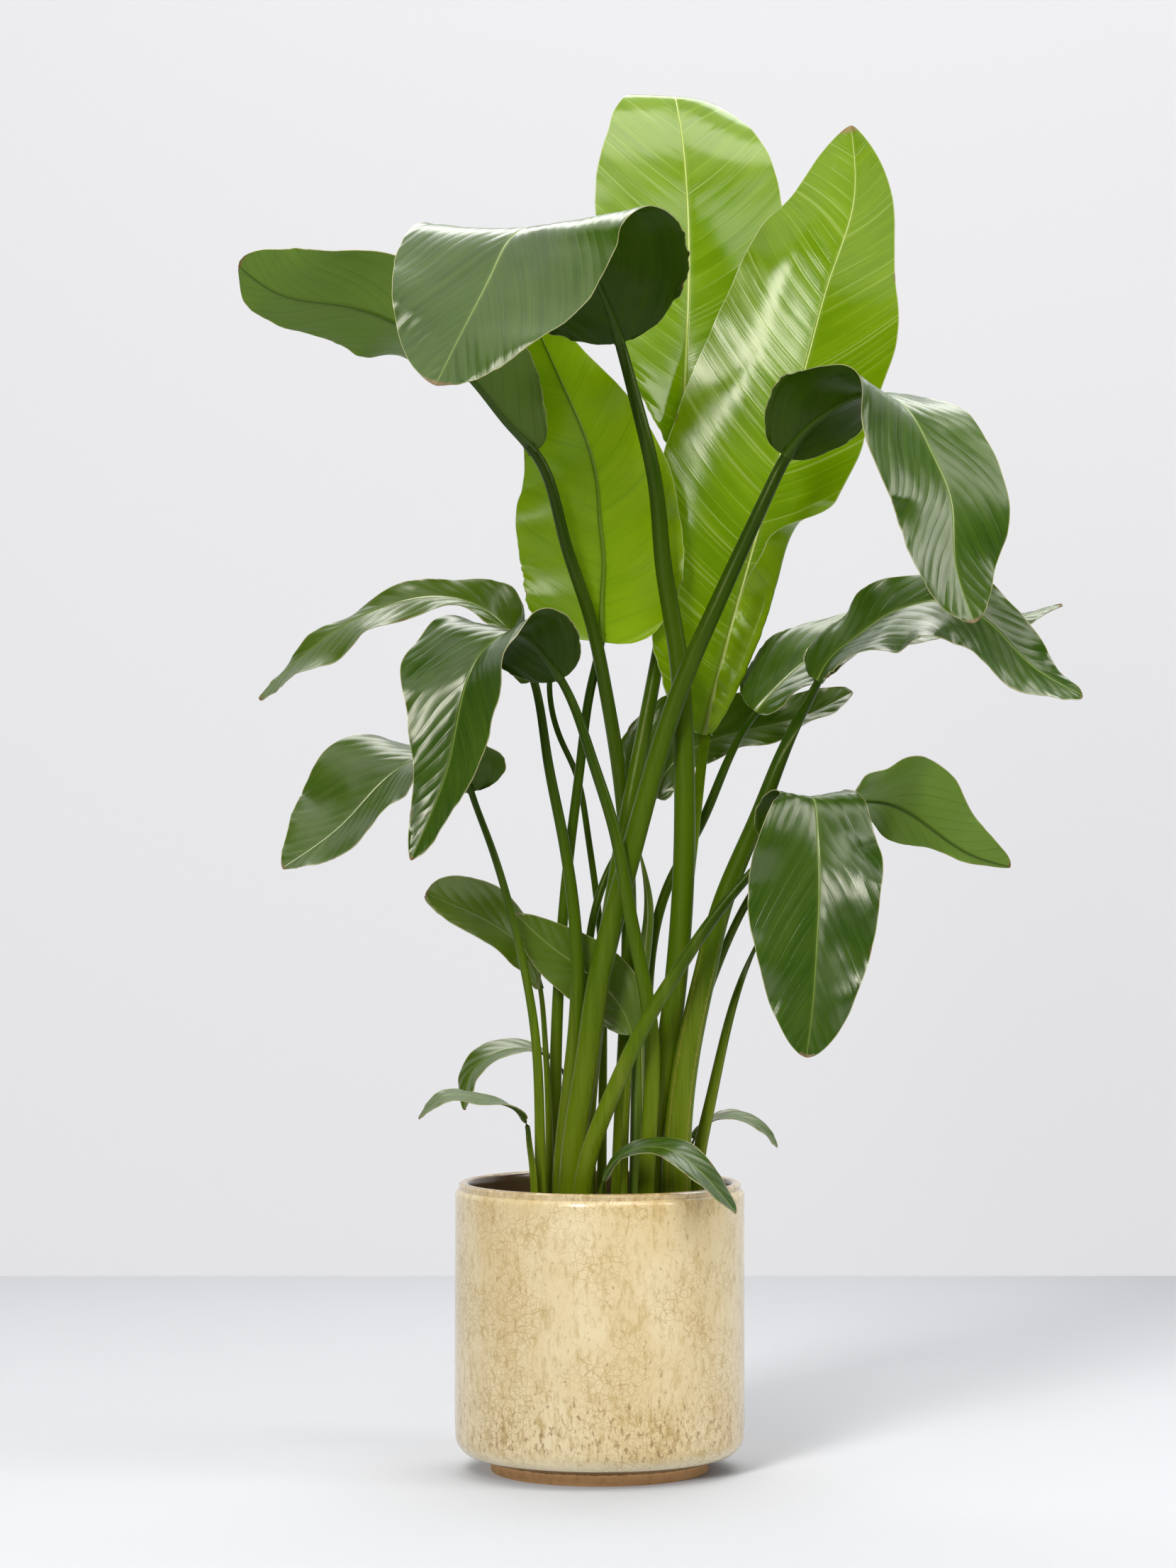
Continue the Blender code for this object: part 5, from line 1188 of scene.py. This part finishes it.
def glazeFinish():
    look = glaze
    finish = Finish("crackleGlaze")
    place = finish.place()
    high = finish.zOf(place)
    radius = finish.vectors("LENGTH", finish.vectors("MULTIPLY", place, (1.0, 1.0, 0.0)), output="Value")
    drawn = finish.drawnOut(place, look["streakStretch"])
    blotch = finish.noise(drawn, look["blotchScale"], 3.0)
    streak = finish.noise(drawn, look["streakScale"], 5.0, 0.65)
    mottle = finish.noise(place, look["mottleScale"], 4.0, 0.65)
    colour = finish.mixColours(finish.between(blotch, 0.36, 0.66), look["cream"], look["warm"])
    lower = finish.outside(high, 0.06, 0.13) * finish.between(high, 0.022, 0.045)
    colour = finish.mixColours(finish.between(streak, 0.47, 0.72) * (0.55 + lower * 0.2), colour,
                               look["olive"])
    colour = finish.mixColours(finish.between(mottle, 0.52, 0.78) * 0.35, colour, look["olive"])
    spots = finish.noise(finish.drawnOut(place, look["spotStretch"]), look["spotScale"], 4.0, 0.7)
    stain = finish.between(spots + lower * 0.085 + (blotch - 0.5) * 0.10, 0.60, 0.72)
    colour = finish.mixColours(stain * 0.75, colour, look["brown"])
    paleBand = finish.outside(high + (mottle - 0.5) * 0.02, 0.026, 0.036)
    paleBand = finish.between(high, 0.013, 0.017) * paleBand
    colour = finish.mixColours(paleBand * 0.7, colour, look["pale"])
    bent = finish.vectors("ADD", place, finish.vectors(
        "MULTIPLY", finish.noise(place, look["bendScale"]).other("Color"), look["bend"]))
    webs = []
    for scale, strength in look["cracks"]:
        gap = finish.node("ShaderNodeTexVoronoi", {"feature": "DISTANCE_TO_EDGE"},
                          {"Vector": bent, "Scale": scale}, "Distance")
        webs.append(finish.outside(gap, *look["crackWidth"]) * strength)
    cracks = finish.maths("MAXIMUM", *webs) * finish.between(finish.noise(place, 13.0), 0.38, 0.62)
    colour = finish.mixColours(cracks, colour, look["crack"])
    lip = finish.between(high, 0.312, 0.3265) * finish.outside(radius, 0.1565, 0.1635)
    colour = finish.mixColours(lip * finish.between(mottle, 0.25, 0.6) * 0.8, colour, look["brown"])
    # the pot's inner wall is painted near black brown: painted shade over the wall's own brown
    shadedInside = finish.outside(radius, 0.1495, 0.1520)
    colour = finish.mixColours(shadedInside * 0.95, colour, look["inner"])
    bare = finish.outside(high + (mottle - 0.5) * 0.006, 0.0122, 0.0136)
    fringe = finish.outside(finish.absolute(high - 0.0142), 0.0004, 0.0016) * 0.6
    colour = finish.mixColours(fringe, colour, look["brown"])
    clay = finish.mixColours(finish.between(mottle, 0.45, 0.8) * 0.6, look["clay"], look["darkClay"])
    colour = finish.mixColours(bare, colour, clay)
    rough = look["roughness"] + stain * 0.10 + streak * 0.12 + bare * 0.6
    normal = finish.bump(streak * 0.8 + mottle * 0.5 - cracks * 0.5 + bare * spots * 2.0, 0.18, 0.0010)
    coat = (1.0 - bare) * (1.0 - shadedInside * 0.8) * look["coat"]
    return finish.close(finish.surface(colour, rough, {"Normal": normal, "Coat Weight": coat,
                                                       "Coat Roughness": look["coatRoughness"]}))


soilLook = dict(deep=(0.012, 0.009, 0.007), light=(0.050, 0.036, 0.024), dry=(0.085, 0.060, 0.036),
                grainScale=260.0, patchScale=34.0, roughness=0.85)


def soilFinish():
    look = soilLook
    finish = Finish("pottingSoil")
    place = finish.place()
    grain = finish.noise(place, look["grainScale"], 4.0, 0.7)
    patch = finish.noise(place, look["patchScale"], 2.0)
    colour = finish.mixColours(finish.between(grain, 0.35, 0.7), look["deep"], look["light"])
    colour = finish.mixColours(finish.between(patch, 0.55, 0.75) * 0.5, colour, look["dry"])
    return finish.close(finish.surface(colour, look["roughness"] + grain * 0.15,
                                       {"Normal": finish.bump(grain, 0.6, 0.0015)}))


# putting it together

def build():
    standFor(potPiece(glazeFinish()), "cream_glaze", "pot")
    print("pot made")
    standFor(soilPiece(soilFinish()), "dark_soil", "soil")
    print("soil made")
    green, below, young, youngBelow = (leafFinish(name, look) for name, look in leafLooks.items())
    stalkGreen = stalkFinish()
    bladeShape, stalkShape = bladeTree(), stalkTree()
    triangles = 0
    for name, leaf in leaves.items():
        number = int(name[-2:])
        isYoung = name in youngLeaves
        look = {**blade, **(youngBlade if isYoung else {})}
        finishes = (young, youngBelow) if isYoung else (green, below)
        piece = bladePiece(number, leaf, bladeShape, finishes, look)
        standFor(piece, "young_leaf" if isYoung else "green_leaf", "blade_%02d" % number)
        triangles += 2 * len(piece.data.polygons)
        piece = stalkPiece(number, leaf, stalkShape, stalkGreen)
        standFor(piece, "green_stalk", "stalk_%02d" % number)
        triangles += 2 * len(piece.data.polygons)
    print("leaves made:", triangles, "triangles")
    standFor(spearPiece(rolledFinish()), "young_leaf", "spear")
    print("rolled leaf made")


build()
